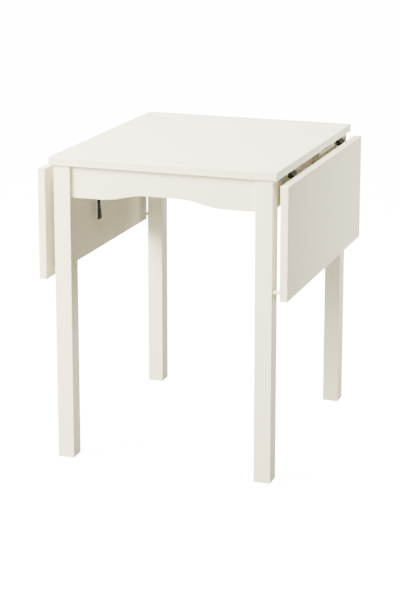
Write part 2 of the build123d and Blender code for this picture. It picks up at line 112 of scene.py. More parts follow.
class TableColours(bpy.types.PropertyGroup):
    """Colours and gloss of the table's finishes."""

    board: colour("Board coat", "White of the top and the leaves", (0.83, 0.803, 0.675))
    edging: colour("Edging", "White of the strip round the boards' edges", (0.82, 0.792, 0.66))
    lacquer: colour("Frame lacquer", "White of the legs and rails", (0.825, 0.796, 0.662))
    worn_lacquer: colour("Worn lacquer", "White where hands and feet rub the edges", (0.74, 0.69, 0.58))
    # The supports' coat is white; this colour is darkened to a beige as painted shade of the gap under the
    # top.
    steel: colour("Support coat", "Pale powder coat of the supports' holders and arms", (0.48, 0.46, 0.37))
    black: colour("Black coat", "Powder coat of the hinges", (0.0045, 0.0047, 0.0045))
    worn_black: colour("Worn black", "Coat rubbed at the edges of the steel", (0.02, 0.021, 0.02))
    plastic: colour("Black plastic", "Turn handles", (0.005, 0.005, 0.005))
    zinc: colour("Zinc plate", "Screws, braces and brackets", (0.62, 0.63, 0.65))
    rubber: colour("White rubber", "Leaf bumpers and arm pads", (0.74, 0.73, 0.7))
    glide: colour("Glide", "Plastic under the legs", (0.66, 0.65, 0.62))
    beech: colour("Beech", "Dowels", (0.5, 0.3, 0.15))
    beech_dark: colour("Beech grain", "Dark grain of the dowels", (0.3, 0.155, 0.065))
    board_gloss: share("Board roughness", "Roughness of the top and leaves", 0.36)
    lacquer_gloss: share("Lacquer roughness", "Roughness of the frame", 0.42)


class TableSizes(bpy.types.PropertyGroup):
    """Fine sizes of the fittings, which the frame leaves plain."""

    screw_pitch: length("Screw pitch", "Pitch of the wood screws", 1.6 * MM)
    head_height: length("Head height", "Height of the wood screws' heads", 2.0 * MM)
    recess_reach: share("Recess reach", "Arm of the cross recess, as a share of the head", 0.58)
    recess_width: share("Recess width", "Half width of the recess, as a share of the head", 0.15)
    recess_depth: length("Recess depth", "Depth of the cross recess", 1.1 * MM)
    bolt_pitch: length("Bolt pitch", "Pitch of the leg bolts' nut end", 1.25 * MM)
    lag_pitch: length("Lag pitch", "Pitch of the leg bolts' wood end", 3.0 * MM)
    bolt_plain: length("Bolt plain part", "Bare middle of the leg bolts", 8.0 * MM)
    plate_corner: length("Plate corner", "Corner radius of the hinge leaves", 5.0 * MM)
    strip_corner: length("Strip corner", "Corner radius of braces and brackets", 3.0 * MM)
    strip_edge: length("Edge rounding", "Rounding of cut steel edges", 0.4 * MM)
    bend: length("Bend radius", "Middle radius of the bends in braces and brackets", 3.5 * MM)
    brace_steel: length("Brace steel", "Thickness of the corner braces", 2.5 * MM)
    bracket_steel: length("Bracket steel", "Thickness of the angle brackets", 2.0 * MM)
    brace_flange: length("Brace flange", "Length of a corner brace's flange", 20.0 * MM)
    hinge_steel: length("Hinge steel", "Thickness of the hinge leaves", 2.5 * MM)
    knuckle_gap: length("Knuckle gap", "Room between two hinge knuckles, both sides together", 0.6 * MM)
    rivet_head: length("Rivet head", "Height of the hinge pins' heads", 1.5 * MM)
    knuckle_chamfer: length("Knuckle chamfer", "Chamfer at the ends of the hinge knuckles", 0.5 * MM)
    socket_height: length("Handle socket", "Height of the turn handles' round socket", 36 * MM)
    socket_radius: length("Socket radius", "Radius of that socket", 6.5 * MM)
    neck_height: length("Handle neck", "Height over which the blade grows round", 26 * MM)
    handle_waist: length("Handle waist", "Height of the waist above the handle's foot", 55.8 * MM)
    blade_half: length("Blade half width", "Half width of the blade at its waist", 4.5 * MM)
    blade_thickness: length("Blade thickness", "Thickness of the blade", 5.0 * MM)
    pad_edge: length("Pad edge", "Rounding of the arm pads", 0.9 * MM)
    bumper_nose: length("Bumper nose", "Rounding of the bumpers' free end", 2.2 * MM)
    around: IntProperty(
        name="Segments", description="Points round a turned fitting", default=36, min=12, max=96
    )


class TableStage(bpy.types.PropertyGroup):
    """Camera, floor and lights."""

    eye: FloatVectorProperty(
        name="Eye", description="Where the camera stands", default=(1.3597, -3.9013, 1.5255), unit="LENGTH"
    )
    azimuth: angle("Azimuth", "Turn of the view about Z", 19.46)
    dip: angle("Dip", "Tilt of the view below level", 12.12)
    focal: FloatProperty(name="Focal length", description="In millimetres", default=102.93, min=1)
    rise: FloatProperty(name="Shift", description="Vertical shift of the frame", default=-0.2)
    key: strength("Key light", "Power of the large front light", 590)
    left: strength("Left light", "Power of the low left light", 180)
    top: strength("Top light", "Power of the overhead light", 370)
    side: strength("Side light", "Power of the right light", 24)
    low: strength("Low light", "Power of the low front light", 45)
    ambient: strength("Ambient", "Strength of the room's own light", 0.3)
    floor_glow: strength("Floor glow", "Paleness of the floor", 15.0)
    floor_bounce: strength("Floor bounce", "Light from the floor", 0.1)


# ---------------------------------------------------------------- where the frame's own solids are


def mesh_points(mesh):
    """Every vertex of a mesh as an array of places."""
    flat = np.empty(3 * len(mesh.vertices))
    mesh.vertices.foreach_get("co", flat)
    return flat.reshape(-1, 3)


def box_of(node):
    """The two corners of a node's box, as arrays."""
    return np.array(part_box(node))


def near_far(low, high):
    """How far a box's nearest and farthest faces lie from the middle plane, on each axis."""
    return np.minimum(abs(low), abs(high)), np.maximum(abs(low), abs(high))


def distances(points, axis, middle):
    """The distance of each point from the line through middle."""
    off = points - middle
    return np.linalg.norm(off - (off @ axis)[:, None] * axis, axis=1)


def solids_of(node):
    """The separate solids of a node, each as an array of its points.

    Points in one place count as one. Every point starts with its own number, and the lower number spreads
    along the edges until each solid holds a single one."""
    mesh = frame["nodes"][node].data
    points = mesh_points(mesh)
    ends = np.empty(2 * len(mesh.edges), np.int64)
    mesh.edges.foreach_get("vertices", ends)
    _, place = np.unique(np.round(points, 6), axis=0, return_inverse=True)
    start, stop = place.ravel()[ends].reshape(-1, 2).T
    number = np.arange(place.max() + 1)
    spreading = True
    while spreading:
        lower = number.copy()
        np.minimum.at(lower, start, number[stop])
        np.minimum.at(lower, stop, number[start])
        lower = lower[lower]
        spreading = not np.array_equal(lower, number)
        number = lower
    owner = number[place.ravel()]
    return [points[owner == solid] for solid in np.unique(owner)]


def turned_solid(points):
    """Seat, direction, length and end radii of a turned solid.

    The line is the one principal direction whose spread differs from the other two. The direction runs
    from the wider end, the head, to the narrower, and the seat is the middle of the head's outer face."""
    middle = (points.min(0) + points.max(0)) / 2
    spread, lines = np.linalg.eigh(np.cov((points - middle).T))
    axis = lines[:, 2] if spread[2] - spread[1] > spread[1] - spread[0] else lines[:, 0]
    axis = np.round(axis, 3) / np.linalg.norm(np.round(axis, 3))
    along = (points - middle) @ axis
    off = distances(points, axis, middle)
    quarter = 0.25 * np.ptp(along)
    near_end = off[along < along.min() + quarter].max()
    far_end = off[along > along.max() - quarter].max()
    if far_end > near_end + 1e-5:
        axis, along, near_end, far_end = -axis, -along, far_end, near_end
    return middle + along.min() * axis, axis, np.ptp(along), near_end, far_end


# ---------------------------------------------------------------- surfaces


def skin(rings, loop=False):
    """A closed skin over rings[i, j], the point j round ring i.

    Quads join each ring to the next. A fan to the middle of each end ring closes it, or with loop the
    last ring joins the first."""
    count, around = rings.shape[:2]
    total = count * around
    first = around * np.arange(count if loop else count - 1)[:, None]
    here = np.arange(around)
    after = (here + 1) % around
    quads = np.stack(
        [first + here, first + after, (first + after + around) % total, (first + here + around) % total], -1
    ).reshape(-1, 4)
    points = rings.reshape(-1, 3)
    if loop:
        return points, quads, np.empty((0, 3), int)
    last = total - around
    fans = np.concatenate(
        [
            np.stack([np.full(around, total), after, here], -1),
            np.stack([np.full(around, total + 1), last + here, last + after], -1),
        ]
    )
    return np.concatenate([points, rings[[0, -1]].mean(1)]), quads, fans


def turns(around):
    """Even angles round a full turn."""
    return FULL_TURN * np.arange(around) / around


def lathe(radii, heights, around):
    """Rings of a turned shape: at height h the radius is r, and both may also vary with the turn."""
    turn = turns(around)
    radii = np.broadcast_to(np.reshape(radii, (len(radii), -1)), (len(radii), around))
    heights = np.broadcast_to(np.reshape(heights, (len(heights), -1)), radii.shape)
    return np.stack([radii * np.cos(turn), radii * np.sin(turn), heights], -1)


def stand(rings, foot, axis):
    """Turns local rings so that their Z lies along axis and their X as near up as it can, from foot."""
    axis = np.asarray(axis, float)
    up = np.array([0, 1, 0] if abs(axis[2]) > 0.9 else [0, 0, 1])
    across = up - (up @ axis) * axis
    across /= np.linalg.norm(across)
    return np.asarray(foot) + rings @ np.stack([across, np.cross(axis, across), axis])


def turned(radii, heights, around, foot, axis, loop=False):
    """The closed skin of a turned shape that stands on foot along axis."""
    return skin(stand(lathe(radii, heights, around), foot, axis), loop)


def ease(value):
    """The smooth step from 0 to 1: three squares less two cubes."""
    value = np.clip(value, 0, 1)
    return value * value * (3 - 2 * value)


def thread(radius, depth, pitch, heights, around):
    """Radii of a threaded shank: a ridge that climbs one pitch a turn.

    The ridge's share is 1 less twice the distance from the middle of the pitch, sharpened."""
    phase = (np.asarray(heights)[:, None] / pitch - np.arange(around) / around) % 1
    return radius - depth * np.clip(1.7 * np.abs(2 * phase - 1) - 0.35, 0, 1)


def rounded_section(half_width, half_height, edge):
    """Places round a rectangle whose corners are quarter circles of radius edge, beyond its half sizes."""
    quarter = np.concatenate([np.linspace(k, k + 1, 4) * QUARTER_TURN for k in range(4)])
    side, level = np.repeat([1, -1, -1, 1], 4), np.repeat([1, 1, -1, -1], 4)
    return side * half_width + edge * np.cos(quarter), level * half_height + edge * np.sin(quarter)


def bent_path(corners, bend):
    """Places along straight runs between corners, with an arc of radius bend at each inner one."""
    path = [corners[:1]]
    for before, here, after in zip(corners, corners[1:], corners[2:]):
        into = (here - before) / np.linalg.norm(here - before)
        out = (after - here) / np.linalg.norm(after - here)
        half = math.acos(np.clip(into @ out, -1, 1)) / 2
        cut = bend * math.tan(half)
        centre = here + (out - into) / np.linalg.norm(out - into) * bend / math.cos(half)
        angle = np.linspace(-half, half, 9)[:, None]
        inward = (here - centre) / np.linalg.norm(here - centre)
        forward = (out + into) / np.linalg.norm(out + into)
        arc = centre + bend * (np.cos(angle) * inward + np.sin(angle) * forward)
        path.append(np.concatenate([[here - cut * into], arc[1:-1], [here + cut * out]]))
    return np.concatenate(path + [corners[-1:]])


def drawn_in(end, radius):
    """How far a side draws in at a distance from the end, for a quarter circle of that radius."""
    return radius - np.sqrt(np.clip(radius**2 - (radius - np.minimum(end, radius)) ** 2, 0, None))


def strip(corners, across, width, thickness, corner, sizes):
    """The skin of a flat bar carried along a bent path.

    The section is a rectangle with rounded corners. Towards each end the width follows a quarter circle of
    radius corner, and the last rings draw in by the edge rounding."""
    edge = sizes.strip_edge
    path = bent_path(np.asarray(corners, float), sizes.bend)
    steps = np.linalg.norm(np.diff(path, axis=0), axis=1)
    reach = np.concatenate([[0], np.cumsum(steps)])
    total = reach[-1]
    turn, fine = np.linspace(0, QUARTER_TURN, 7), np.linspace(0, QUARTER_TURN, 4)
    near = np.unique(np.round(np.concatenate([corner * (1 - np.cos(turn)), edge * (1 - np.cos(fine))]), 7))
    inner = reach[(reach > near[-1] + 1e-5) & (reach < total - near[-1] - 1e-5)]
    along = np.concatenate([near, inner, (total - near)[::-1]])
    spine = np.stack([np.interp(along, reach, path[:, axis]) for axis in range(3)], -1)
    ahead = np.gradient(spine, along, axis=0)
    ahead /= np.linalg.norm(ahead, axis=1)[:, None]
    normal = np.cross(across, ahead)
    end = np.minimum(along, total - along)
    drawn = drawn_in(end, edge)
    half_width = (width / 2 - drawn_in(end, corner) - drawn - edge)[:, None]
    half_height = (thickness / 2 - drawn - edge)[:, None]
    wide, high = rounded_section(half_width, np.maximum(half_height, 0), edge)
    wide = wide[..., None] * np.asarray(across, float)
    return skin(spine[:, None] + wide + high[..., None] * normal[:, None])


def rounded_block(low, high, rounding):
    """The skin of a block with rounded edges: a ball's directions, pushed out to the block's own corners."""
    steps = 5
    quarter = np.linspace(0, QUARTER_TURN, steps)
    turn = np.concatenate([quarter + k * QUARTER_TURN for k in range(4)])
    tilt = np.concatenate([quarter - QUARTER_TURN, quarter])[:, None]
    side = np.repeat([[1, 1], [-1, 1], [-1, -1], [1, -1]], steps, axis=0)
    level = np.repeat([-1, 1], steps)
    core = (high - low) / 2 - rounding
    flat = np.cos(tilt)
    ball = np.stack([flat * np.cos(turn), flat * np.sin(turn), np.repeat(np.sin(tilt), len(turn), 1)], -1)
    corner = np.empty_like(ball)
    corner[..., :2] = side * core[:2]
    corner[..., 2] = level[:, None] * core[2]
    return skin((low + high) / 2 + corner + rounding * ball)


def added(name, data):
    """A new object in the scene."""
    made = bpy.data.objects.new(name, data)
    bpy.context.scene.collection.objects.link(made)
    return made


def piece(node, how, shells, material, body):
    """Joins closed shells into one piece that rides on a body and stands for the frame's node.

    Points in one place are merged, which also turns the quads at a pole into triangles. Edges sharper
    than a third of a right angle stay sharp."""
    name = f"{node}_{how}"
    starts = np.cumsum([0] + [len(points) for points, _, _ in shells])
    points = np.concatenate([shell[0] for shell in shells])
    quads = np.concatenate([shell[1] + start for shell, start in zip(shells, starts)])
    fans = np.concatenate([shell[2] + start for shell, start in zip(shells, starts)])
    mesh = bpy.data.meshes.new(name)
    loops = np.concatenate([quads.ravel(), fans.ravel()]).astype(np.int32)
    sides = np.concatenate([np.full(len(quads), 4), np.full(len(fans), 3)])
    mesh.vertices.add(len(points))
    mesh.vertices.foreach_set("co", points.astype(np.float32).ravel())
    mesh.loops.add(len(loops))
    mesh.loops.foreach_set("vertex_index", loops)
    mesh.polygons.add(len(sides))
    mesh.polygons.foreach_set("loop_start", (np.cumsum(sides) - sides).astype(np.int32))
    mesh.update(calc_edges=True)
    tidy = bmesh.new()
    tidy.from_mesh(mesh)
    bmesh.ops.remove_doubles(tidy, verts=tidy.verts, dist=1e-7)
    bmesh.ops.dissolve_degenerate(tidy, dist=1e-7, edges=tidy.edges)
    bmesh.ops.recalc_face_normals(tidy, faces=tidy.faces)
    tidy.to_mesh(mesh)
    tidy.free()
    mesh.shade_smooth()
    mesh.set_sharp_from_angle(angle=math.radians(32))
    mesh.materials.append(material)
    made = added(name, mesh)
    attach(made, body)
    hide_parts(node)


# ---------------------------------------------------------------- shader nodes


def plug(tree, socket, value):
    """Links a value that is a socket, and sets any other as the input's own."""
    if isinstance(value, bpy.types.NodeSocket):
        tree.links.new(value, socket)
    elif value is not None:
        socket.default_value = value


class Wiring:
    """Adds nodes to a tree. Inputs are given by order or, with a capital, by name."""

    def __init__(self, tree):
        self.tree = tree

    def add(self, kind, *inputs, **settings):
        """The first output of a new node of that kind."""
        node = self.tree.nodes.new(kind)
        named = {key: settings.pop(key) for key in list(settings) if key[0].isupper()}
        for key, value in settings.items():
            setattr(node, key, value)
        for key, value in [*enumerate(inputs), *named.items()]:
            plug(self.tree, node.inputs[key], value)
        return node.outputs[0]

    def math(self, operation, a, b=None):
        return self.add("ShaderNodeMath", a, b, operation=operation)

    def sum(self, a, b):
        return self.math("ADD", a, b)

    def times(self, a, b):
        return self.math("MULTIPLY", a, b)

    def vector(self, operation, a, b):
        return self.add("ShaderNodeVectorMath", a, b, operation=operation)

    def parts(self, vector):
        """The three numbers of a vector."""
        return self.add("ShaderNodeSeparateXYZ", vector).node.outputs

    def between(self, value, low, high, to_low=0.0, to_high=1.0):
        """The smooth step of a value from low to high."""
        return self.add(
            "ShaderNodeMapRange", value, low, high, to_low, to_high, interpolation_type="SMOOTHSTEP"
        )

    def blend(self, factor, a, b):
        """Colour a where the factor is 0, and b where it is 1."""
        node = self.tree.nodes.new("ShaderNodeMix")
        node.data_type = "RGBA"
        inputs = {socket.identifier: socket for socket in node.inputs}
        plug(self.tree, inputs["Factor_Float"], factor)
        for key, value in (("A_Color", a), ("B_Color", b)):
            plug(self.tree, inputs[key], (*value, 1) if isinstance(value, tuple) else value)
        return next(socket for socket in node.outputs if socket.identifier == "Result_Color")

    def noise(self, place, scale, detail, roughness):
        return self.add("ShaderNodeTexNoise", Vector=place, Scale=scale, Detail=detail, Roughness=roughness)


def edge_distance(wires, given):
    """On a block, one of the three distances to the sides is nearly nought on a face, and the middle one of
    the three is the distance to the nearest edge. The mask falls from 1 at the edge to 0 at the width."""
    place = given["Place"]
    from_low = wires.vector("SUBTRACT", place, given["Low corner"])
    from_high = wires.vector("SUBTRACT", given["High corner"], place)
    x, y, z = wires.parts(wires.vector("MINIMUM", from_low, from_high))
    capped = wires.math("MINIMUM", wires.math("MAXIMUM", x, y), z)
    middle = wires.math("MAXIMUM", wires.math("MINIMUM", x, y), capped)
    ragged = wires.noise(place, 140.0, 3.0, 0.6)
    shift = wires.times(wires.sum(ragged, -0.5), given["Unevenness"])
    edge = wires.sum(middle, wires.times(shift, given["Width"]))
    return {"Mask": wires.between(edge, 0.0, given["Width"], 1.0, 0.0)}


def coat_film(wires, given):
    """Grain telegraphed through a coat, the coat's own ripple, and slow changes of tone and gloss."""
    along = wires.vector("MULTIPLY", given["Place"], given["Stretch"])
    grain = wires.noise(along, given["Grain scale"], 5.0, 0.62)
    pores = wires.between(wires.noise(along, wires.times(given["Grain scale"], 3.1), 3.0, 0.5), 0.34, 0.46)
    ripple = wires.noise(given["Place"], given["Ripple scale"], 2.0, 0.5)
    slow = wires.noise(given["Place"], 5.5, 3.0, 0.55)
    smudge = wires.noise(given["Place"], 23.0, 4.0, 0.6)
    height = wires.sum(wires.times(wires.sum(grain, pores), 0.35), wires.times(ripple, 0.5))
    tone = wires.between(wires.sum(wires.times(slow, 0.7), wires.times(grain, 0.3)), 0.3, 0.72)
    return {"Height": height, "Tone": tone, "Smudge": wires.between(smudge, 0.4, 0.75)}


def dust_fall(wires, given):
    """Fine dust that settles where the surface faces up, thicker in drifts."""
    facing = wires.tree.nodes.new("ShaderNodeNewGeometry").outputs["Normal"]
    upward = wires.between(wires.parts(facing)[2], 0.35, 1.0)
    drift = wires.between(wires.noise(given["Place"], 38.0, 4.0, 0.65), 0.3, 0.8)
    speck = wires.between(wires.noise(given["Place"], 900.0, 1.0, 0.5), 0.52, 0.7)
    amount = wires.times(upward, wires.sum(wires.times(drift, 0.7), wires.times(speck, 0.5)))
    return {"Mask": wires.times(amount, given["Amount"])}


def steel_skin(wires, given):
    """Rolling or turning lines in a stretched noise, fine pitting, and cloudy patches from plating."""
    along = wires.vector("MULTIPLY", given["Place"], given["Stretch"])
    lines = wires.noise(along, given["Line scale"], 3.0, 0.6)
    pits = wires.noise(given["Place"], 2600.0, 2.0, 0.5)
    clouds = wires.noise(given["Place"], 130.0, 4.0, 0.6)
    height = wires.sum(wires.times(lines, 0.6), wires.times(pits, 0.4))
    return {"Height": height, "Lines": lines, "Clouds": wires.between(clouds, 0.32, 0.7)}


def grained_skin(wires, given):
    """The leathery grain of moulded plastic and rubber: cells with soft walls, plus slow gloss changes."""
    cells = wires.add(
        "ShaderNodeTexVoronoi", Vector=given["Place"], Scale=given["Grain scale"], feature="SMOOTH_F1"
    )
    blur = wires.noise(given["Place"], wires.times(given["Grain scale"], 0.6), 3.0, 0.6)
    sheen = wires.noise(given["Place"], 70.0, 3.0, 0.5)
    return {"Height": wires.sum(wires.times(cells, 0.6), wires.times(blur, 0.5)), "Sheen": sheen}


VECTOR, NUMBER = "NodeSocketVector", "NodeSocketFloat"
STRETCH = {"Stretch": (1, 1, 1)}
BLOCK = {"Low corner": (0, 0, 0), "High corner": (1, 1, 1)}
# Each shared effect: its inputs besides the place, with their defaults, its outputs and what wires them.
EFFECTS = {
    "Edge distance": (BLOCK | {"Width": 2 * MM, "Unevenness": 0.8}, ("Mask",), edge_distance),
    "Coat film": (
        STRETCH | {"Grain scale": 300.0, "Ripple scale": 220.0},
        ("Height", "Tone", "Smudge"),
        coat_film,
    ),
    "Dust": ({"Amount": 0.3}, ("Mask",), dust_fall),
    "Steel skin": (STRETCH | {"Line scale": 900.0}, ("Height", "Lines", "Clouds"), steel_skin),
    "Grained skin": ({"Grain scale": 1400.0}, ("Height", "Sheen"), grained_skin),
}


def shared_group(name):
    """The node group of that effect, built on first use."""
    if name in bpy.data.node_groups:
        return bpy.data.node_groups[name]
    inputs, outputs, fill = EFFECTS[name]
    tree = bpy.data.node_groups.new(name, "ShaderNodeTree")
    for label, default in ({"Place": (0, 0, 0)} | inputs).items():
        kind = VECTOR if isinstance(default, tuple) else NUMBER
        tree.interface.new_socket(label, in_out="INPUT", socket_type=kind).default_value = default
    for label in outputs:
        tree.interface.new_socket(label, in_out="OUTPUT", socket_type=NUMBER)
    entry = tree.nodes.new("NodeGroupInput")
    leaving = tree.nodes.new("NodeGroupOutput")
    made = fill(Wiring(tree), {socket.name: socket for socket in entry.outputs if socket.name})
    for label in outputs:
        tree.links.new(made[label], leaving.inputs[label])
    return tree


class Finish:
    """A material in the making: its wires, its place coordinates, its shader and the user's colours."""

    def __init__(self, name):
        self.material = bpy.data.materials.new(name)
        self.material.use_nodes = True
        self.tree = self.material.node_tree
        self.shader = next(node for node in self.tree.nodes if node.type == "BSDF_PRINCIPLED")
        self.wires = Wiring(self.tree)
        self.place = self.tree.nodes.new("ShaderNodeTexCoord").outputs["Object"]
        self.colours = bpy.context.scene.table_colours

    def effect(self, name, **values):
        """Places a shared group with its own values and gives its outputs by name."""
        node = self.tree.nodes.new("ShaderNodeGroup")
        node.node_tree = shared_group(name)
        for key, value in {"Place": self.place, **values}.items():
            plug(self.tree, node.inputs[key.replace("_", " ")], value)
        return node.outputs

    def edges(self, node, width, unevenness):
        """The mask of a block's edges, from its node's own box."""
        low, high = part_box(node)
        values = {"Low_corner": low, "High_corner": high, "Width": width, "Unevenness": unevenness}
        return self.effect("Edge distance", **values)["Mask"]

    def dusted(self, amount, base, dust_colour):
        """Dust over a colour: its mask, and the two colours blended."""
        mask = self.effect("Dust", Amount=amount)["Mask"]
        return mask, self.wires.blend(mask, base, dust_colour)

    def rough(self, base, *terms):
        """A roughness: the base plus each mask times its share."""
        for mask, part in terms:
            base = self.wires.sum(self.wires.times(mask, part), base)
        return base

    def bump(self, height, distance, strength):
        """Raises the surface by height times distance, in metres."""
        normal = self.wires.add("ShaderNodeBump", Strength=strength, Distance=distance, Height=height)
        plug(self.tree, self.shader.inputs["Normal"], normal)

    def set(self, **values):
        """Sets the shader's own sockets, or links them where the value is a socket."""
        for key, value in values.items():
            plug(self.tree, self.shader.inputs[key.replace("_", " ")], value)
        return self.material


def once(name, make, *values):
    """The material of that name, made on first use."""
    return bpy.data.materials.get(name) or make(name, *values)


# ---------------------------------------------------------------- finishes


def scaled(base, *factors):
    """A colour as it is, made darker by one factor, or tinted by a factor for each of its parts."""
    return tuple(min(1.0, float(part)) for part in np.array(base) * np.array(factors or 1))


def squeezed(axis, factor):
    """A stretch that draws a pattern out along one axis."""
    stretch = [1.0, 1.0, 1.0]
    stretch[axis] = factor
    return tuple(stretch)


def board_coat(name, node, thin_axis):
    """A smooth white coat on a board, with an edging strip whose joint runs just inside each arris."""
    finish = Finish(name)
    wires, colours = finish.wires, finish.colours
    film = finish.effect("Coat film", Stretch=squeezed(1, 0.06), Grain_scale=420.0, Ripple_scale=160.0)
    arris = finish.edges(node, 1.6 * MM, 0.5)
    low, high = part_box(node)
    middle = (low[thin_axis] + high[thin_axis]) / 2
    half = (high[thin_axis] - low[thin_axis]) / 2
    off = wires.math("ABSOLUTE", wires.sum(wires.parts(finish.place)[thin_axis], -middle))
    joint, blur, groove = half - 0.75 * MM, 0.15 * MM, 0.2 * MM
    banding = wires.between(off, joint - blur, joint + blur, 1.0, 0.0)
    seam = wires.times(
        wires.between(off, joint - groove, joint), wires.between(off, joint, joint + groove, 1.0, 0.0)
    )
    tinted = wires.blend(film["Tone"], scaled(colours.board, 0.968), scaled(colours.board))
    banded = wires.blend(banding, tinted, scaled(colours.edging, 0.985))
    jointed = wires.blend(wires.times(seam, 0.4), banded, scaled(colours.edging, 0.72))
    rubbed = wires.blend(wires.times(arris, 0.35), jointed, scaled(colours.edging, 0.9))
    dust, dusty = finish.dusted(0.05, rubbed, (0.6, 0.57, 0.52))
    rough = finish.rough(colours.board_gloss, (film["Smudge"], 0.09), (arris, 0.08), (dust, 0.8))
    finish.bump(wires.sum(film["Height"], wires.times(seam, -0.8)), 0.05 * MM, 0.5)
    return finish.set(Base_Color=dusty, Roughness=rough, IOR=1.48)


def lacquer(name, node, grain_axis):
    """White lacquer on wood: grain that shows faintly through, eased and slightly worn arrises."""
    finish = Finish(name)
    wires, colours = finish.wires, finish.colours
    stretch = squeezed(grain_axis, 0.045)
    film = finish.effect("Coat film", Stretch=stretch, Grain_scale=330.0, Ripple_scale=190.0)
    worn = wires.between(finish.edges(node, 2.4 * MM, 1.2), 0.45, 1.0)
    tinted = wires.blend(film["Tone"], scaled(colours.lacquer, 0.955), scaled(colours.lacquer))
    rubbed = wires.blend(wires.times(worn, 0.3), tinted, scaled(colours.worn_lacquer))
    dust, dusty = finish.dusted(0.1, rubbed, (0.55, 0.52, 0.47))
    rough = finish.rough(colours.lacquer_gloss, (film["Smudge"], 0.1), (film["Tone"], -0.04), (dust, 0.6))
    finish.bump(film["Height"], 0.08 * MM, 0.6)
    return finish.set(Base_Color=dusty, Roughness=rough, IOR=1.5)


def black_steel(name):
    """Powder-coated steel: fine orange peel, greyer where it has been rubbed, a little dust on top."""
    finish = Finish(name)
    wires, colours = finish.wires, finish.colours
    steel = finish.effect("Steel skin", Line_scale=1500.0)
    peel = finish.effect("Grained skin", Grain_scale=1100.0)
    rubbed = wires.blend(steel["Clouds"], scaled(colours.black), scaled(colours.worn_black, 0.4))
    dust, dusty = finish.dusted(0.1, rubbed, (0.2, 0.19, 0.175))
    rough = finish.rough(0.47, (peel["Sheen"], 0.16), (dust, 0.4))
    finish.bump(wires.sum(peel["Height"], wires.times(steel["Height"], 0.4)), 0.05 * MM, 0.7)
    return finish.set(Base_Color=dusty, Roughness=rough, IOR=1.42)


def black_plastic(name):
    """Moulded black plastic with a fine grain, shinier where it is handled."""
    finish = Finish(name)
    plastic = finish.colours.plastic
    grain = finish.effect("Grained skin", Grain_scale=1500.0)
    tone = finish.wires.blend(grain["Sheen"], scaled(plastic, 0.75), scaled(plastic, 1.4))
    _, dusty = finish.dusted(0.08, tone, (0.2, 0.195, 0.18))
    finish.bump(grain["Height"], 0.06 * MM, 0.7)
    return finish.set(Base_Color=dusty, Roughness=finish.rough(0.36, (grain["Sheen"], 0.2)), IOR=1.5)


def plated(name, stretch, line_scale):
    """Bright zinc plate on steel: lines from rolling or turning, cloudy bluish and straw patches."""
    finish = Finish(name)
    wires, zinc = finish.wires, finish.colours.zinc
    steel = finish.effect("Steel skin", Stretch=stretch, Line_scale=line_scale)
    clouded = wires.blend(steel["Clouds"], scaled(zinc, 0.93), scaled(zinc, 1.02, 0.97, 0.86))
    worked = wires.between(steel["Lines"], 0.35, 0.65, 0.0, 0.35)
    lined = wires.blend(worked, clouded, scaled(zinc, 0.72))
    dust, dusty = finish.dusted(0.25, lined, (0.42, 0.4, 0.37))
    metal = wires.between(dust, 0.0, 1.0, 1.0, 0.4)
    rough = finish.rough(0.2, (steel["Lines"], 0.22), (steel["Clouds"], 0.08))
    finish.bump(steel["Height"], 0.03 * MM, 0.8)
    return finish.set(Base_Color=dusty, Metallic=metal, Roughness=rough)


def pale_skin(name, base, grain_scale, gloss):
    """White rubber, plastic or powder coat: fine grain, and a tone that yellows slightly in patches."""
    finish = Finish(name)
    wires = finish.wires
    grain = finish.effect("Grained skin", Grain_scale=grain_scale)
    patches = wires.between(grain["Sheen"], 0.35, 0.65)
    tone = wires.blend(patches, scaled(base), scaled(base, 0.97, 0.94, 0.86))
    _, dusty = finish.dusted(0.15, tone, (0.5, 0.47, 0.42))
    finish.bump(grain["Height"], 0.05 * MM, 0.6)
    return finish.set(Base_Color=dusty, Roughness=finish.rough(gloss, (grain["Sheen"], 0.15)), IOR=1.46)


def beech(name):
    """Bare beech: pale wood with short dark rays along the dowel."""
    finish = Finish(name)
    colours = finish.colours
    film = finish.effect("Coat film", Grain_scale=700.0, Ripple_scale=900.0)
    dark = finish.wires.times(film["Tone"], 0.6)
    grained = finish.wires.blend(dark, scaled(colours.beech), scaled(colours.beech_dark))
    finish.bump(film["Height"], 0.12 * MM, 0.7)
    return finish.set(Base_Color=grained, Roughness=finish.rough(0.6, (film["Smudge"], 0.1)))


def support_coat_painted_shade():
    """The powder coat of the supports, with an even orange peel. Its colour is darker than the white coat:
    painted shade of the narrow gap under the top.
    """
    return once("white_steel_coat", pale_skin, bpy.context.scene.table_colours.steel, 1000.0, 0.34)


def white_rubber():
    return once("white_rubber_skin", pale_skin, bpy.context.scene.table_colours.rubber, 1300.0, 0.5)


def plated_turnings():
    return once("zinc_steel_turned", plated, (1, 1, 1), 1800.0)


# ---------------------------------------------------------------- boards and frame


def coat_node(node, material):
    """Puts a finish on a frame node, whose shape stays."""
    shown = frame["nodes"][node]
    if not shown.material_slots:
        shown.data.materials.append(material)
    for slot in shown.material_slots:
        slot.material = material


class TABLE_OT_coat_boards(bpy.types.Operator):
    """Coat the top and the two leaves"""

    bl_idname = "table.coat_boards"
    bl_label = "Coat boards"

    def execute(self, context):
        thin_axes = {"table_top": 2, "leaf_right": 0, "leaf_left": 0}
        for node, axis in thin_axes.items():
            coat_node(node, board_coat(f"white_board_{node.removeprefix('table_')}", node, axis))
        return {"FINISHED"}


class TABLE_OT_coat_frame(bpy.types.Operator):
    """Lacquer the legs, aprons and side rails"""

    bl_idname = "table.coat_frame"
    bl_label = "Lacquer frame"

    def execute(self, context):
        grain_axes = {f"leg_{corner}": 2 for corner in CORNERS}
        grain_axes.update(apron_front=0, apron_back=0, side_rail_right=1, side_rail_left=1)
        for node, axis in grain_axes.items():
            coat_node(node, lacquer(f"white_frame_{node}", node, axis))
        return {"FINISHED"}


# ---------------------------------------------------------------- screws, bolts, nuts and washers


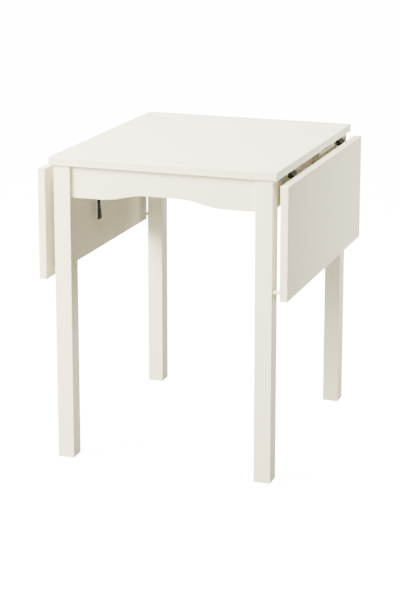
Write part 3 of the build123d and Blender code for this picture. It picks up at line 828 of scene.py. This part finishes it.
def screw(points, number, sizes):
    """A pan-head wood screw from its head's top, turned a little further than the one before it.

    The head is a superellipse dome. The recess is two crossed bars that press it down: a bar is 1 within
    its half width and its reach and eases to 0 at its walls. The shank is a thread that grows in over one
    pitch under a plain neck, and tapers to a point."""
    foot, axis, total, head, radius = turned_solid(points)
    around, height, pitch = sizes.around, sizes.head_height, sizes.screw_pitch
    turn = turns(around)
    dome_power, neck, tip, thread_depth = 2 / 2.8, 0.6 * MM, 2.4 * MM, 0.24
    sweep = np.linspace(0.05, 1, 10) * QUARTER_TURN
    dome = np.repeat((head * np.sin(sweep) ** dome_power)[:, None], around, 1)
    sunk = height * (1 - np.cos(sweep) ** dome_power)[:, None]
    x, y = np.abs(dome * np.cos(turn)), np.abs(dome * np.sin(turn))
    half, reach, wall = sizes.recess_width * head, sizes.recess_reach * head, 0.12 * head
    bars = [ease((half - a) / wall + 0.5) * ease((reach - b) / wall + 0.5) for a, b in ((x, y), (y, x))]
    sunk = np.minimum(sunk + min(sizes.recess_depth, 0.8 * height) * np.maximum(*bars), 0.92 * height)
    sunk[-1] = 0.9 * height
    climb = np.arange(height + neck, total - tip, pitch / 5)
    shank = thread(radius, thread_depth * radius, pitch, climb, around)
    grown = ease((climb - climb[0]) / pitch)[:, None]
    shank = 0.86 * radius * (1 - grown) + shank * grown
    # Radii of the head's underside, out and in, and of the tapering tip.
    under = np.array([[0.96 * head], [1.12 * radius]])
    taper = np.array([[0.72 * radius], [0.4 * radius], [0.06 * MM]])
    levels = np.concatenate([[height, height], climb, [total - tip, total - 1.1 * MM, total]])
    radii = np.concatenate([dome, *(rows + np.zeros(around) for rows in (under, shank, taper))])
    heights = np.concatenate([sunk, levels[:, None] + np.zeros(around)])
    cos, sin = math.cos(0.7 * number), math.sin(0.7 * number)
    rings = lathe(radii, heights, around) @ np.array([[cos, sin, 0], [-sin, cos, 0], [0, 0, 1]])
    return skin(stand(rings, foot, axis))


class TABLE_OT_add_screws(bpy.types.Operator):
    """Turn every wood screw, with a cross recess and a thread"""

    bl_idname = "table.add_screws"
    bl_label = "Wood screws"

    def execute(self, context):
        bodies = dict.fromkeys(("brace_screws", "bracket_screws", "hinge_screws", "holder_screws"), "frame")
        bodies.update(flap_screws_right="leaf_right", flap_screws_left="leaf_left")
        for node, body in bodies.items():
            solids = enumerate(solids_of(node))
            shells = [screw(points, number, context.scene.table_sizes) for number, points in solids]
            piece(node, "turned", shells, plated_turnings(), body)
        return {"FINISHED"}


def hanger_bolt(points, middle, outward, total, sizes):
    """A leg bolt: a fine thread for its nut, a plain middle and a coarse wood thread that ends in a cone."""
    radius = distances(points, outward, middle).max()
    around, nut_end = sizes.around, 0.42 * total
    plain_end = nut_end + sizes.bolt_plain
    fine = np.arange(0.8 * MM, nut_end, sizes.bolt_pitch / 4)
    coarse = np.arange(plain_end, total - 4 * MM, sizes.lag_pitch / 7)
    # From the nut's end on, the radii of each part and the levels they stand at.
    parts = (
        ([[0.7 * radius], [0.84 * radius]], [0, 0.3 * MM]),
        (thread(radius, 0.14 * radius, sizes.bolt_pitch, fine, around), fine),
        ([[0.92 * radius]] * 2, [nut_end + 0.3 * MM, plain_end - 0.4 * MM]),
        (thread(radius, 0.24 * radius, sizes.lag_pitch, coarse, around), coarse),
        ([[0.6 * radius], [0.25 * radius], [0.05 * radius]], [total - 3 * MM, total - 0.6 * MM, total]),
    )
    radii = np.concatenate([np.array(rows) + np.zeros(around) for rows, _ in parts])
    heights = np.concatenate([levels for _, levels in parts])
    return turned(radii, heights, around, middle - outward * total / 2, outward)


def hexagon_nut(points, middle, outward, total, sizes):
    """A hexagon nut as a closed loop of rings.

    Round the turn the outside is the half width over the cosine of the angle from the middle of a flat. A
    cone of 30 degrees cuts both rims, so the radius there is the smaller of the two. The points come in
    sixes, so that every corner gets one."""
    around = 6 * (sizes.around // 3)
    mouth, sixth = 0.5 * MM, FULL_TURN / 6
    half, hole = np.ptp(points[:, 2]) / 2, distances(points, outward, middle).min()
    hexagon = half / np.cos((turns(around) + sixth / 2) % sixth - sixth / 2)
    rise = np.linspace(0, 1.1 * MM, 5)
    rim = np.minimum(hexagon, (0.97 * half + rise * math.sqrt(3))[:, None])
    flare = np.full((1, around), hole + mouth)
    radii = np.concatenate([flare, rim, rim[::-1], flare, np.full((2, around), hole)])
    heights = np.concatenate([[0], rise, total - rise[::-1], [total, total - mouth, mouth]])
    return turned(radii, heights, around, middle - outward * total / 2, outward, loop=True)


def washer(points, middle, outward, total, sizes):
    """A washer: a rectangle with rounded corners carried round the hole."""
    edge = 0.35 * MM
    radius, hole = np.ptp(points[:, 2]) / 2, distances(points, outward, middle).min()
    wide, high = rounded_section((radius - hole) / 2 - edge, total / 2 - edge, edge)
    foot = middle - outward * total / 2
    return turned((radius + hole) / 2 + wide, total / 2 + high, sizes.around, foot, outward, loop=True)


class TABLE_OT_add_bolts(bpy.types.Operator):
    """Turn the leg bolts and put their nuts and washers on"""

    bl_idname = "table.add_bolts"
    bl_label = "Leg bolts"

    def execute(self, context):
        fittings = {
            "leg_bolts": ("threaded", hanger_bolt),
            "leg_nuts": ("hexagon", hexagon_nut),
            "leg_washers": ("round", washer),
        }
        for node, (how, make) in fittings.items():
            shells = []
            for points in solids_of(node):
                middle = (points.min(0) + points.max(0)) / 2
                outward = np.array([*np.sign(middle[:2]), 0]) / math.sqrt(2)
                total = np.ptp((points - middle) @ outward)
                shells.append(make(points, middle, outward, total, context.scene.table_sizes))
            piece(node, how, shells, plated_turnings(), "frame")
        return {"FINISHED"}


# ---------------------------------------------------------------- hinges


PLATE_SEAM, FLAP_SEAM = 2.4, 5.2  # where a knuckle's seam lies, in radians round the pin


def leaf_of(corner):
    """The leaf on a corner's side."""
    return f"leaf_{corner.split('_')[1]}"


def joint_place(name):
    """Where a joint's line lies."""
    return next(joint["pos_m"] for joint in frame["joints"] if joint["name"] == name)


def knuckle(low, high, hinge, radius, seam, sizes):
    """A hinge knuckle along Y: a drum with chamfered rims and a shallow seam where the strip's end meets it.

    The seam presses the radius in by a bell curve of the turn."""
    seam_depth, seam_width = 0.35 * MM, 0.09
    away = (turns(sizes.around) - seam + math.pi) % FULL_TURN - math.pi
    groove = seam_depth * np.exp(-((away / seam_width) ** 2))
    chamfer = sizes.knuckle_chamfer
    radii = np.array([radius - chamfer, radius, radius, radius - chamfer])[:, None] - groove
    heights = np.array([low, low + chamfer, high - chamfer, high])
    return turned(radii, heights, sizes.around, (hinge[0], 0, hinge[2]), ALONG_Y)


def carrier(one, other):
    """The block that carries a knuckle on its plate, between two opposite corners."""
    both = np.array([one, other])
    return rounded_block(both.min(0), both.max(0), 0.3 * MM)


def moving_span(corner):
    """Where the moving knuckle's gap starts and stops along the pin: the plate's points below its strip
    and inside its own ends."""
    points = mesh_points(frame["nodes"][f"hinge_plate_{corner}"].data)
    low, high = points.min(0), points.max(0)
    drum = points[points[:, 2] < low[2] + 3 * MM, 1]
    inner = drum[(drum > low[1] + 1 * MM) & (drum < high[1] - 1 * MM)]
    return inner.min(), inner.max()


def hinge_plate(node, hinge, gap, sizes):
    """The fixed plate: a strip from its inboard end to over the pin, with an outer knuckle at each side
    and a block that joins each knuckle to the strip."""
    low, high = box_of(node)
    sign, radius, thickness = np.sign(hinge[0]), hinge[2] - low[2], sizes.hinge_steel
    level, middle = high[2] - thickness / 2, (low[1] + high[1]) / 2
    path = [(sign * near_far(low, high)[0][0], middle, level), (hinge[0], middle, level)]
    shells = [strip(path, ALONG_Y, high[1] - low[1], thickness, sizes.plate_corner, sizes)]
    for start, stop in ((low[1], gap[0]), (gap[1], high[1])):
        shells.append(knuckle(start, stop, hinge, radius, PLATE_SEAM, sizes))
        shells.append(carrier((hinge[0], start, hinge[2]), (hinge[0] - sign * radius, stop, level)))
    return shells


def hinge_flap(node, hinge, gap, sizes):
    """The flap on the leaf: a wide strip below the pin and a tongue that carries the middle knuckle."""
    low, high = box_of(node)
    sign, radius, thickness = np.sign(hinge[0]), high[2] - hinge[2], sizes.hinge_steel
    face, middle = sign * (near_far(low, high)[1][0] - thickness / 2), (low[1] + high[1]) / 2
    shoulder = hinge[2] - radius - sizes.knuckle_gap
    path = [(face, middle, low[2]), (face, middle, shoulder)]
    bar = strip(path, ALONG_Y, high[1] - low[1], thickness, sizes.plate_corner, sizes)
    start, stop = gap[0] + sizes.knuckle_gap / 2, gap[1] - sizes.knuckle_gap / 2
    drum = knuckle(start, stop, hinge, radius, FLAP_SEAM, sizes)
    inner, outer = face - sign * thickness / 2, face + sign * thickness / 2
    tongue = carrier((inner, start, shoulder - sizes.plate_corner), (outer, stop, hinge[2] - 1 * MM))
    return [bar, drum, tongue, carrier((hinge[0], start, hinge[2] - radius), (face, stop, hinge[2]))]


def hinge_pin(points, sizes):
    """A rod with a domed head at each end. A dome is a quarter turn of a flattened circle, and the rod's
    radius is the smallest of the common distances from its line."""
    foot, axis, total, head, _ = turned_solid(points)
    off = np.round(distances(points, axis, (points.min(0) + points.max(0)) / 2), 5)
    values, counts = np.unique(off[off > 1e-4], return_counts=True)
    rod = values[counts > counts.max() / 4].min()
    dome = np.linspace(0.1, 1, 6) * QUARTER_TURN
    radii = np.concatenate([head * np.sin(dome), [head, rod]])
    heights = sizes.rivet_head * np.concatenate([0.7 * (1 - np.cos(dome)), [1, 1]])
    both_ends = np.concatenate([heights, total - heights[::-1]])
    return turned(np.concatenate([radii, radii[::-1]]), both_ends, sizes.around, foot, axis)


class TABLE_OT_add_hinges(bpy.types.Operator):
    """Bend the four hinges: a plate under the top, a flap on the leaf and a pin through both"""

    bl_idname = "table.add_hinges"
    bl_label = "Hinges"

    def execute(self, context):
        sizes = context.scene.table_sizes
        steel = once("black_steel_coat", black_steel)
        for corner in CORNERS:
            hinge = joint_place(f"{leaf_of(corner)}_hinge")
            for kind, make, body in (("plate", hinge_plate, "frame"), ("flap", hinge_flap, leaf_of(corner))):
                node = f"hinge_{kind}_{corner}"
                piece(node, "bent", make(node, hinge, moving_span(corner), sizes), steel, body)
        shells = [hinge_pin(points, sizes) for points in solids_of("hinge_pins")]
        piece("hinge_pins", "riveted", shells, steel, "frame")
        return {"FINISHED"}


# ---------------------------------------------------------------- braces and brackets


def corner_brace(node, sizes):
    """A flange along the apron, a straight run across the corner and a flange along the side rail."""
    low, high = box_of(node)
    thick = sizes.brace_steel
    free, rail = near_far(low, high)
    line = free[0] + sizes.brace_flange + rail[1] - thick / 2 * math.sqrt(2)
    x, y = rail[:2] - thick / 2
    outline = np.array([(free[0], y), (line - y, y), (x, line - x), (x, free[1])])
    path = np.full((4, 3), (low[2] + high[2]) / 2)
    path[:, :2] = np.sign((low + high)[:2]) * outline
    return strip(path, ALONG_Z, high[2] - low[2], thick, sizes.strip_corner, sizes)


def angle_bracket(node, sizes):
    """A lid under the top that turns down along its rail."""
    low, high = box_of(node)
    plate = sizes.bracket_steel
    across_axis = 1 if "side" in node else 0
    reach_axis = 1 - across_axis
    middle = (low + high) / 2
    inner, outer = sorted((low[reach_axis], high[reach_axis]), key=abs)
    wall = outer + np.sign(inner - outer) * plate / 2
    lid = high[2] - plate / 2
    path = np.tile(middle, (3, 1))
    path[:, reach_axis] = [inner, wall, wall]
    path[:, 2] = [lid, lid, low[2]]
    width = high[across_axis] - low[across_axis]
    return strip(path, np.eye(3)[across_axis], width, plate, sizes.strip_corner, sizes)


class TABLE_OT_add_braces(bpy.types.Operator):
    """Bend the corner braces and the angle brackets from strip"""

    bl_idname = "table.add_braces"
    bl_label = "Braces and brackets"

    def execute(self, context):
        material = once("zinc_steel_pressed", plated, (1, 1, 0.08), 1100.0)
        places = [("corner_brace", corner, corner_brace) for corner in CORNERS]
        places += [("top_bracket", corner, angle_bracket) for corner in CORNERS]
        places += [("top_bracket", f"side_{side}", angle_bracket) for side in SIDES]
        for kind, place, make in places:
            node = f"{kind}_{place}"
            piece(node, "bent", [make(node, context.scene.table_sizes)], material, "frame")
        return {"FINISHED"}


# ---------------------------------------------------------------- leaf supports


def turn_handle(low, high, pivot, sizes):
    """A turn handle hanging from the pivot's line, from its foot up.

    Each level is a superellipse: half sizes and middle move from a flat blade through a neck to a round
    socket, and the power falls from a rounded rectangle's to a circle's. Below the waist the blade spreads
    evenly to its foot, on the side of the box that reaches further from the pivot."""
    foot, top = low[2], high[2]
    socket_foot = top - sizes.socket_height
    neck_foot = socket_foot - sizes.neck_height
    # How far from the end each of the edge's levels stands, and how much it draws in.
    foot_edge = np.array([[0, 0.5, 1.2, 2.4], [1.1, 0.45, 0.12, 0.0]]) * MM
    top_edge = np.array([[1.2, 0.5, 0.15, 0], [0.0, 0.1, 0.35, 0.8]]) * MM
    levels = np.concatenate(
        [
            foot + foot_edge[0],
            np.linspace(foot + 6 * MM, neck_foot, 22),
            np.linspace(neck_foot, socket_foot, 12)[1:],
            [socket_foot + 1.5 * MM],
            top - top_edge[0],
        ]
    )
    trim = np.zeros(len(levels))
    trim[: foot_edge.shape[1]] = foot_edge[1]
    trim[-top_edge.shape[1] :] = top_edge[1]
    spread = np.clip((sizes.handle_waist - (levels - foot)) / sizes.handle_waist, 0, 1)
    back, front = pivot[1] - low[1], high[1] - pivot[1]
    blade, thin, socket = sizes.blade_half, sizes.blade_thickness / 2, sizes.socket_radius
    to_socket = ease((levels - neck_foot) / (socket_foot - neck_foot))
    near = blade + (socket - blade) * to_socket
    far = near + (max(back, front) - blade) * spread
    half_thick = thin + (socket - thin) * to_socket
    power = 2 / (5 - 3 * to_socket)[:, None]
    far_side = -1 if back > front else 1
    turn = turns(FINE_AROUND)
    cos, sin = (np.sign(part) * np.abs(part) ** power for part in (np.cos(turn), np.sin(turn)))
    x = pivot[0] + (half_thick - trim)[:, None] * cos
    y = pivot[1] + far_side * (far - near)[:, None] / 2 + ((near + far) / 2 - trim)[:, None] * sin
    return skin(np.stack([x, y, np.repeat(levels[:, None], FINE_AROUND, 1)], -1))


class TABLE_OT_add_supports(bpy.types.Operator):
    """Fit the swing-out leaf supports: coat their steel and mould their pads and turn handles"""

    bl_idname = "table.add_supports"
    bl_label = "Leaf supports"

    def execute(self, context):
        sizes = context.scene.table_sizes
        plastic = once("black_plastic_handle", black_plastic)
        for side in SIDES:
            arm, handle, pad = f"arm_{side}", f"arm_handle_{side}", f"arm_pad_{side}"
            for node in (f"arm_holder_{side}", f"support_arm_{side}"):
                # The support coat's colour holds painted shade of the gap under the top.
                coat_node(node, support_coat_painted_shade())
            for node in (f"arm_shaft_{side}", f"arm_pins_{side}"):
                coat_node(node, plated_turnings())
            grip = turn_handle(*box_of(handle), joint_place(f"{arm}_pivot"), sizes)
            piece(handle, "moulded", [grip], plastic, arm)
            cushion = rounded_block(*box_of(pad), sizes.pad_edge)
            piece(pad, "moulded", [cushion], white_rubber(), arm)
        return {"FINISHED"}


# ---------------------------------------------------------------- bumpers, glides and dowels


def bumper(node, sizes):
    """A bumper from its nose: a dimple that eases out, a quarter circle, a barrel and a small rim."""
    low, high = box_of(node)
    radius, total = (high[2] - low[2]) / 2, high[0] - low[0]
    sign = np.sign(low[0])
    sweep, out = np.linspace(0, QUARTER_TURN, 7), np.linspace(0, 1, 5)
    nose, edge = sizes.bumper_nose, 0.2 * MM
    # Radius and height of each ring.
    rows = np.concatenate(
        [
            np.stack([0.02 * MM + 1.9 * MM * out, 0.9 * MM * (1 - ease(out))], -1),
            np.stack([0.94 * radius - nose * (1 - np.sin(sweep)), nose * (1 - np.cos(sweep))], -1),
            [[0.96 * radius, total - 2.2 * MM], [radius, total - 1.8 * MM]],
            [[radius, total - edge], [radius - edge, total]],
        ]
    )
    foot = (low + high) / 2
    foot[0] = sign * near_far(low, high)[0][0]
    return turned(*rows.T, sizes.around, foot, (sign, 0, 0))


def glide(node, sizes):
    """A glide from below: a shallow hollow, a rounded disc and a shank that ends in a cone."""
    low, high = box_of(node)
    radius, top = (high[0] - low[0]) / 2, high[2]
    disc, shank, edge, rim = 2.0 * MM, 3.0 * MM, 0.15 * MM, 1.2 * MM
    sweep = np.linspace(0, QUARTER_TURN, 6)
    # Radius and height of each ring.
    rows = np.concatenate(
        [
            [[0.02 * MM, 0.5 * MM], [2.4 * MM, 0.5 * MM], [3.0 * MM, 0.05 * MM], [3.4 * MM, 0.0]],
            np.stack([radius - rim * (1 - np.sin(sweep)), rim * (1 - np.cos(sweep))], -1),
            [[radius, disc - edge], [radius - edge, disc], [shank, disc]],
            [[shank, top - 3 * MM], [0.6 * shank, top - 0.8 * MM], [0.1 * MM, top]],
        ]
    )
    foot = (low + high) / 2
    foot[2] = low[2]
    return turned(*rows.T, sizes.around, foot, ALONG_Z)


def dowel(points):
    """A dowel with chamfered ends. Its flutes press it in by 1 less the size of a cosine of the turn."""
    foot, axis, total, radius, _ = turned_solid(points)
    half_flutes, chamfer = 8, 1.0 * MM
    pressed = 0.25 * MM * (1 - np.abs(np.cos(half_flutes * turns(FINE_AROUND))))
    radii = np.array([0.75, 1.0, 1.0, 0.75])[:, None] * radius - pressed
    heights = np.array([0, chamfer, total - chamfer, total])
    return turned(radii, heights, FINE_AROUND, foot, axis)


class TABLE_OT_add_bumpers(bpy.types.Operator):
    """Mould the four bumpers that hold the leaves off the legs"""

    bl_idname = "table.add_bumpers"
    bl_label = "Leaf bumpers"

    def execute(self, context):
        for corner in CORNERS:
            node = f"bumper_{corner}"
            shells = [bumper(node, context.scene.table_sizes)]
            piece(node, "moulded", shells, white_rubber(), leaf_of(corner))
        return {"FINISHED"}


class TABLE_OT_add_glides(bpy.types.Operator):
    """Mould the four glides under the legs"""

    bl_idname = "table.add_glides"
    bl_label = "Glides"

    def execute(self, context):
        base = context.scene.table_colours.glide
        material = once("glide_plastic_skin", pale_skin, base, 1700.0, 0.3)
        for corner in CORNERS:
            node = f"glide_{corner}"
            shells = [glide(node, context.scene.table_sizes)]
            piece(node, "moulded", shells, material, "frame")
        return {"FINISHED"}


class TABLE_OT_add_dowels(bpy.types.Operator):
    """Cut the fluted dowels that join the rails to the legs"""

    bl_idname = "table.add_dowels"
    bl_label = "Dowels"

    def execute(self, context):
        shells = [dowel(points) for points in solids_of("dowels")]
        piece("dowels", "fluted", shells, once("beech_wood", beech), "frame")
        return {"FINISHED"}


# ---------------------------------------------------------------- stage


FLOOR_PALE, FLOOR_GREY = (0.45, 0.45, 0.45, 1), (0.16, 0.155, 0.145, 1)
FLOOR_TINT, ROOM_TINT = (1.0, 0.93, 0.78, 1), (1.0, 0.94, 0.74, 1)
WHITE, SEEN_WHITE = (1, 1, 1, 1), 17.0
FLOOR_REACH = 60.0
WARM, SOFT, MIDDLE = (1.0, 0.945, 0.77), (1.0, 0.958, 0.82), (0, 0, 0.45)
# Each round light: its power's property, its place, what it faces, its width and its tint.
LIGHTS = (
    ("key", (-1.85, -2.2, 2.3), MIDDLE, 1.8, WARM),
    ("left", (-2.4, -1.6, 1.5), MIDDLE, 1.4, WARM),
    ("top", (-0.4, 0.3, 3.2), MIDDLE, 2.4, SOFT),
    ("side", (1.3, 0.42, 0.6), (0.3, 0.2, 0.55), 0.5, SOFT),
    ("low", (-0.5, -2.7, 0.35), MIDDLE, 1.2, WARM),
)


def floor_material(name, glow, bounce):
    """A plain pale floor. The camera sees it glow evenly with a little of its own shade, so that contact
    shadows stay faint. Other rays meet a grey floor that gives back a little light, and its back is clear."""
    material = bpy.data.materials.new(name)
    material.use_nodes = True
    tree = material.node_tree
    tree.nodes.clear()
    wires = Wiring(tree)
    pale = wires.add("ShaderNodeBsdfDiffuse", FLOOR_PALE)
    light = wires.add("ShaderNodeEmission", WHITE, glow)
    seen = wires.add("ShaderNodeAddShader", pale, light)
    grey = wires.add("ShaderNodeBsdfDiffuse", FLOOR_GREY)
    faint = wires.add("ShaderNodeEmission", FLOOR_TINT, bounce)
    grey = wires.add("ShaderNodeAddShader", grey, faint)
    shown = wires.add("ShaderNodeMixShader", wires.add("ShaderNodeLightPath"), grey, seen)
    clear = wires.add("ShaderNodeBsdfTransparent")
    behind = tree.nodes.new("ShaderNodeNewGeometry").outputs["Backfacing"]
    both = wires.add("ShaderNodeMixShader", behind, shown, clear)
    plug(tree, tree.nodes.new("ShaderNodeOutputMaterial").inputs["Surface"], both)
    return material


class TABLE_OT_set_stage(bpy.types.Operator):
    """Lay the floor, hang the lights and stand the camera"""

    bl_idname = "table.set_stage"
    bl_label = "Stage"

    def execute(self, context):
        stage = context.scene.table_stage
        mesh = bpy.data.meshes.new("floor")
        signs = ((-1, -1), (1, -1), (1, 1), (-1, 1))
        mesh.from_pydata([(x * FLOOR_REACH, y * FLOOR_REACH, 0) for x, y in signs], [], [(0, 1, 2, 3)])
        mesh.materials.append(floor_material("pale_floor", stage.floor_glow, stage.floor_bounce))
        added("floor", mesh)
        for name, place, aim, width, tint in LIGHTS:
            light = bpy.data.lights.new(f"{name}_light", "AREA")
            light.shape = "DISK"
            light.size = width
            light.energy = getattr(stage, name)
            light.color = tint
            lamp = added(light.name, light)
            lamp.location = place
            lamp.visible_camera = False
            x, y, z = np.subtract(place, aim)
            lamp.rotation_euler = (math.atan2(math.hypot(x, y), z), 0, math.atan2(x, -y))
        self.light_room(context, stage)
        view = bpy.data.cameras.new("camera")
        view.lens = stage.focal
        view.sensor_width = 36
        view.shift_y = stage.rise
        view.clip_end = 200
        camera = added("camera", view)
        camera.location = stage.eye
        camera.rotation_euler = (QUARTER_TURN - stage.dip, 0, stage.azimuth)
        context.scene.camera = camera
        return {"FINISHED"}

    def light_room(self, context, stage):
        """An even room light that the camera itself sees as white."""
        world = bpy.data.worlds.new("room")
        context.scene.world = world
        world.use_nodes = True
        tree = world.node_tree
        tree.nodes.clear()
        wires = Wiring(tree)
        even = wires.add("ShaderNodeBackground", ROOM_TINT, stage.ambient)
        white = wires.add("ShaderNodeBackground", WHITE, SEEN_WHITE)
        both = wires.add("ShaderNodeMixShader", wires.add("ShaderNodeLightPath"), even, white)
        plug(tree, tree.nodes.new("ShaderNodeOutputWorld").inputs["Surface"], both)


# ---------------------------------------------------------------- panel and registration

OPERATORS = (
    TABLE_OT_coat_boards,
    TABLE_OT_coat_frame,
    TABLE_OT_add_screws,
    TABLE_OT_add_bolts,
    TABLE_OT_add_hinges,
    TABLE_OT_add_braces,
    TABLE_OT_add_supports,
    TABLE_OT_add_bumpers,
    TABLE_OT_add_glides,
    TABLE_OT_add_dowels,
    TABLE_OT_set_stage,
)


class TABLE_PT_pieces(bpy.types.Panel):
    """Lists the table's pieces and its sizes and colours"""

    bl_idname = "TABLE_PT_pieces"
    bl_label = "Drop-leaf table"
    bl_space_type = "VIEW_3D"
    bl_region_type = "UI"
    bl_category = "Table"

    def draw(self, context):
        layout = self.layout
        for operator in OPERATORS:
            layout.operator(operator.bl_idname)
        for group in GROUPS:
            settings = getattr(context.scene, group)
            box = layout.box()
            for name in settings.__annotations__:
                box.prop(settings, name)


GROUPS = {"table_colours": TableColours, "table_sizes": TableSizes, "table_stage": TableStage}


def register():
    for name, group in GROUPS.items():
        bpy.utils.register_class(group)
        setattr(bpy.types.Scene, name, PointerProperty(type=group))
    for entry in OPERATORS + (TABLE_PT_pieces,):
        bpy.utils.register_class(entry)


def unregister():
    for entry in reversed(OPERATORS + (TABLE_PT_pieces,)):
        bpy.utils.unregister_class(entry)
    for name, group in GROUPS.items():
        delattr(bpy.types.Scene, name)
        bpy.utils.unregister_class(group)


def main():
    """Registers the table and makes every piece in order."""
    register()
    for operator in OPERATORS:
        group, call = operator.bl_idname.split(".")
        getattr(getattr(bpy.ops, group), call)()


if __name__ == "__main__":
    main()
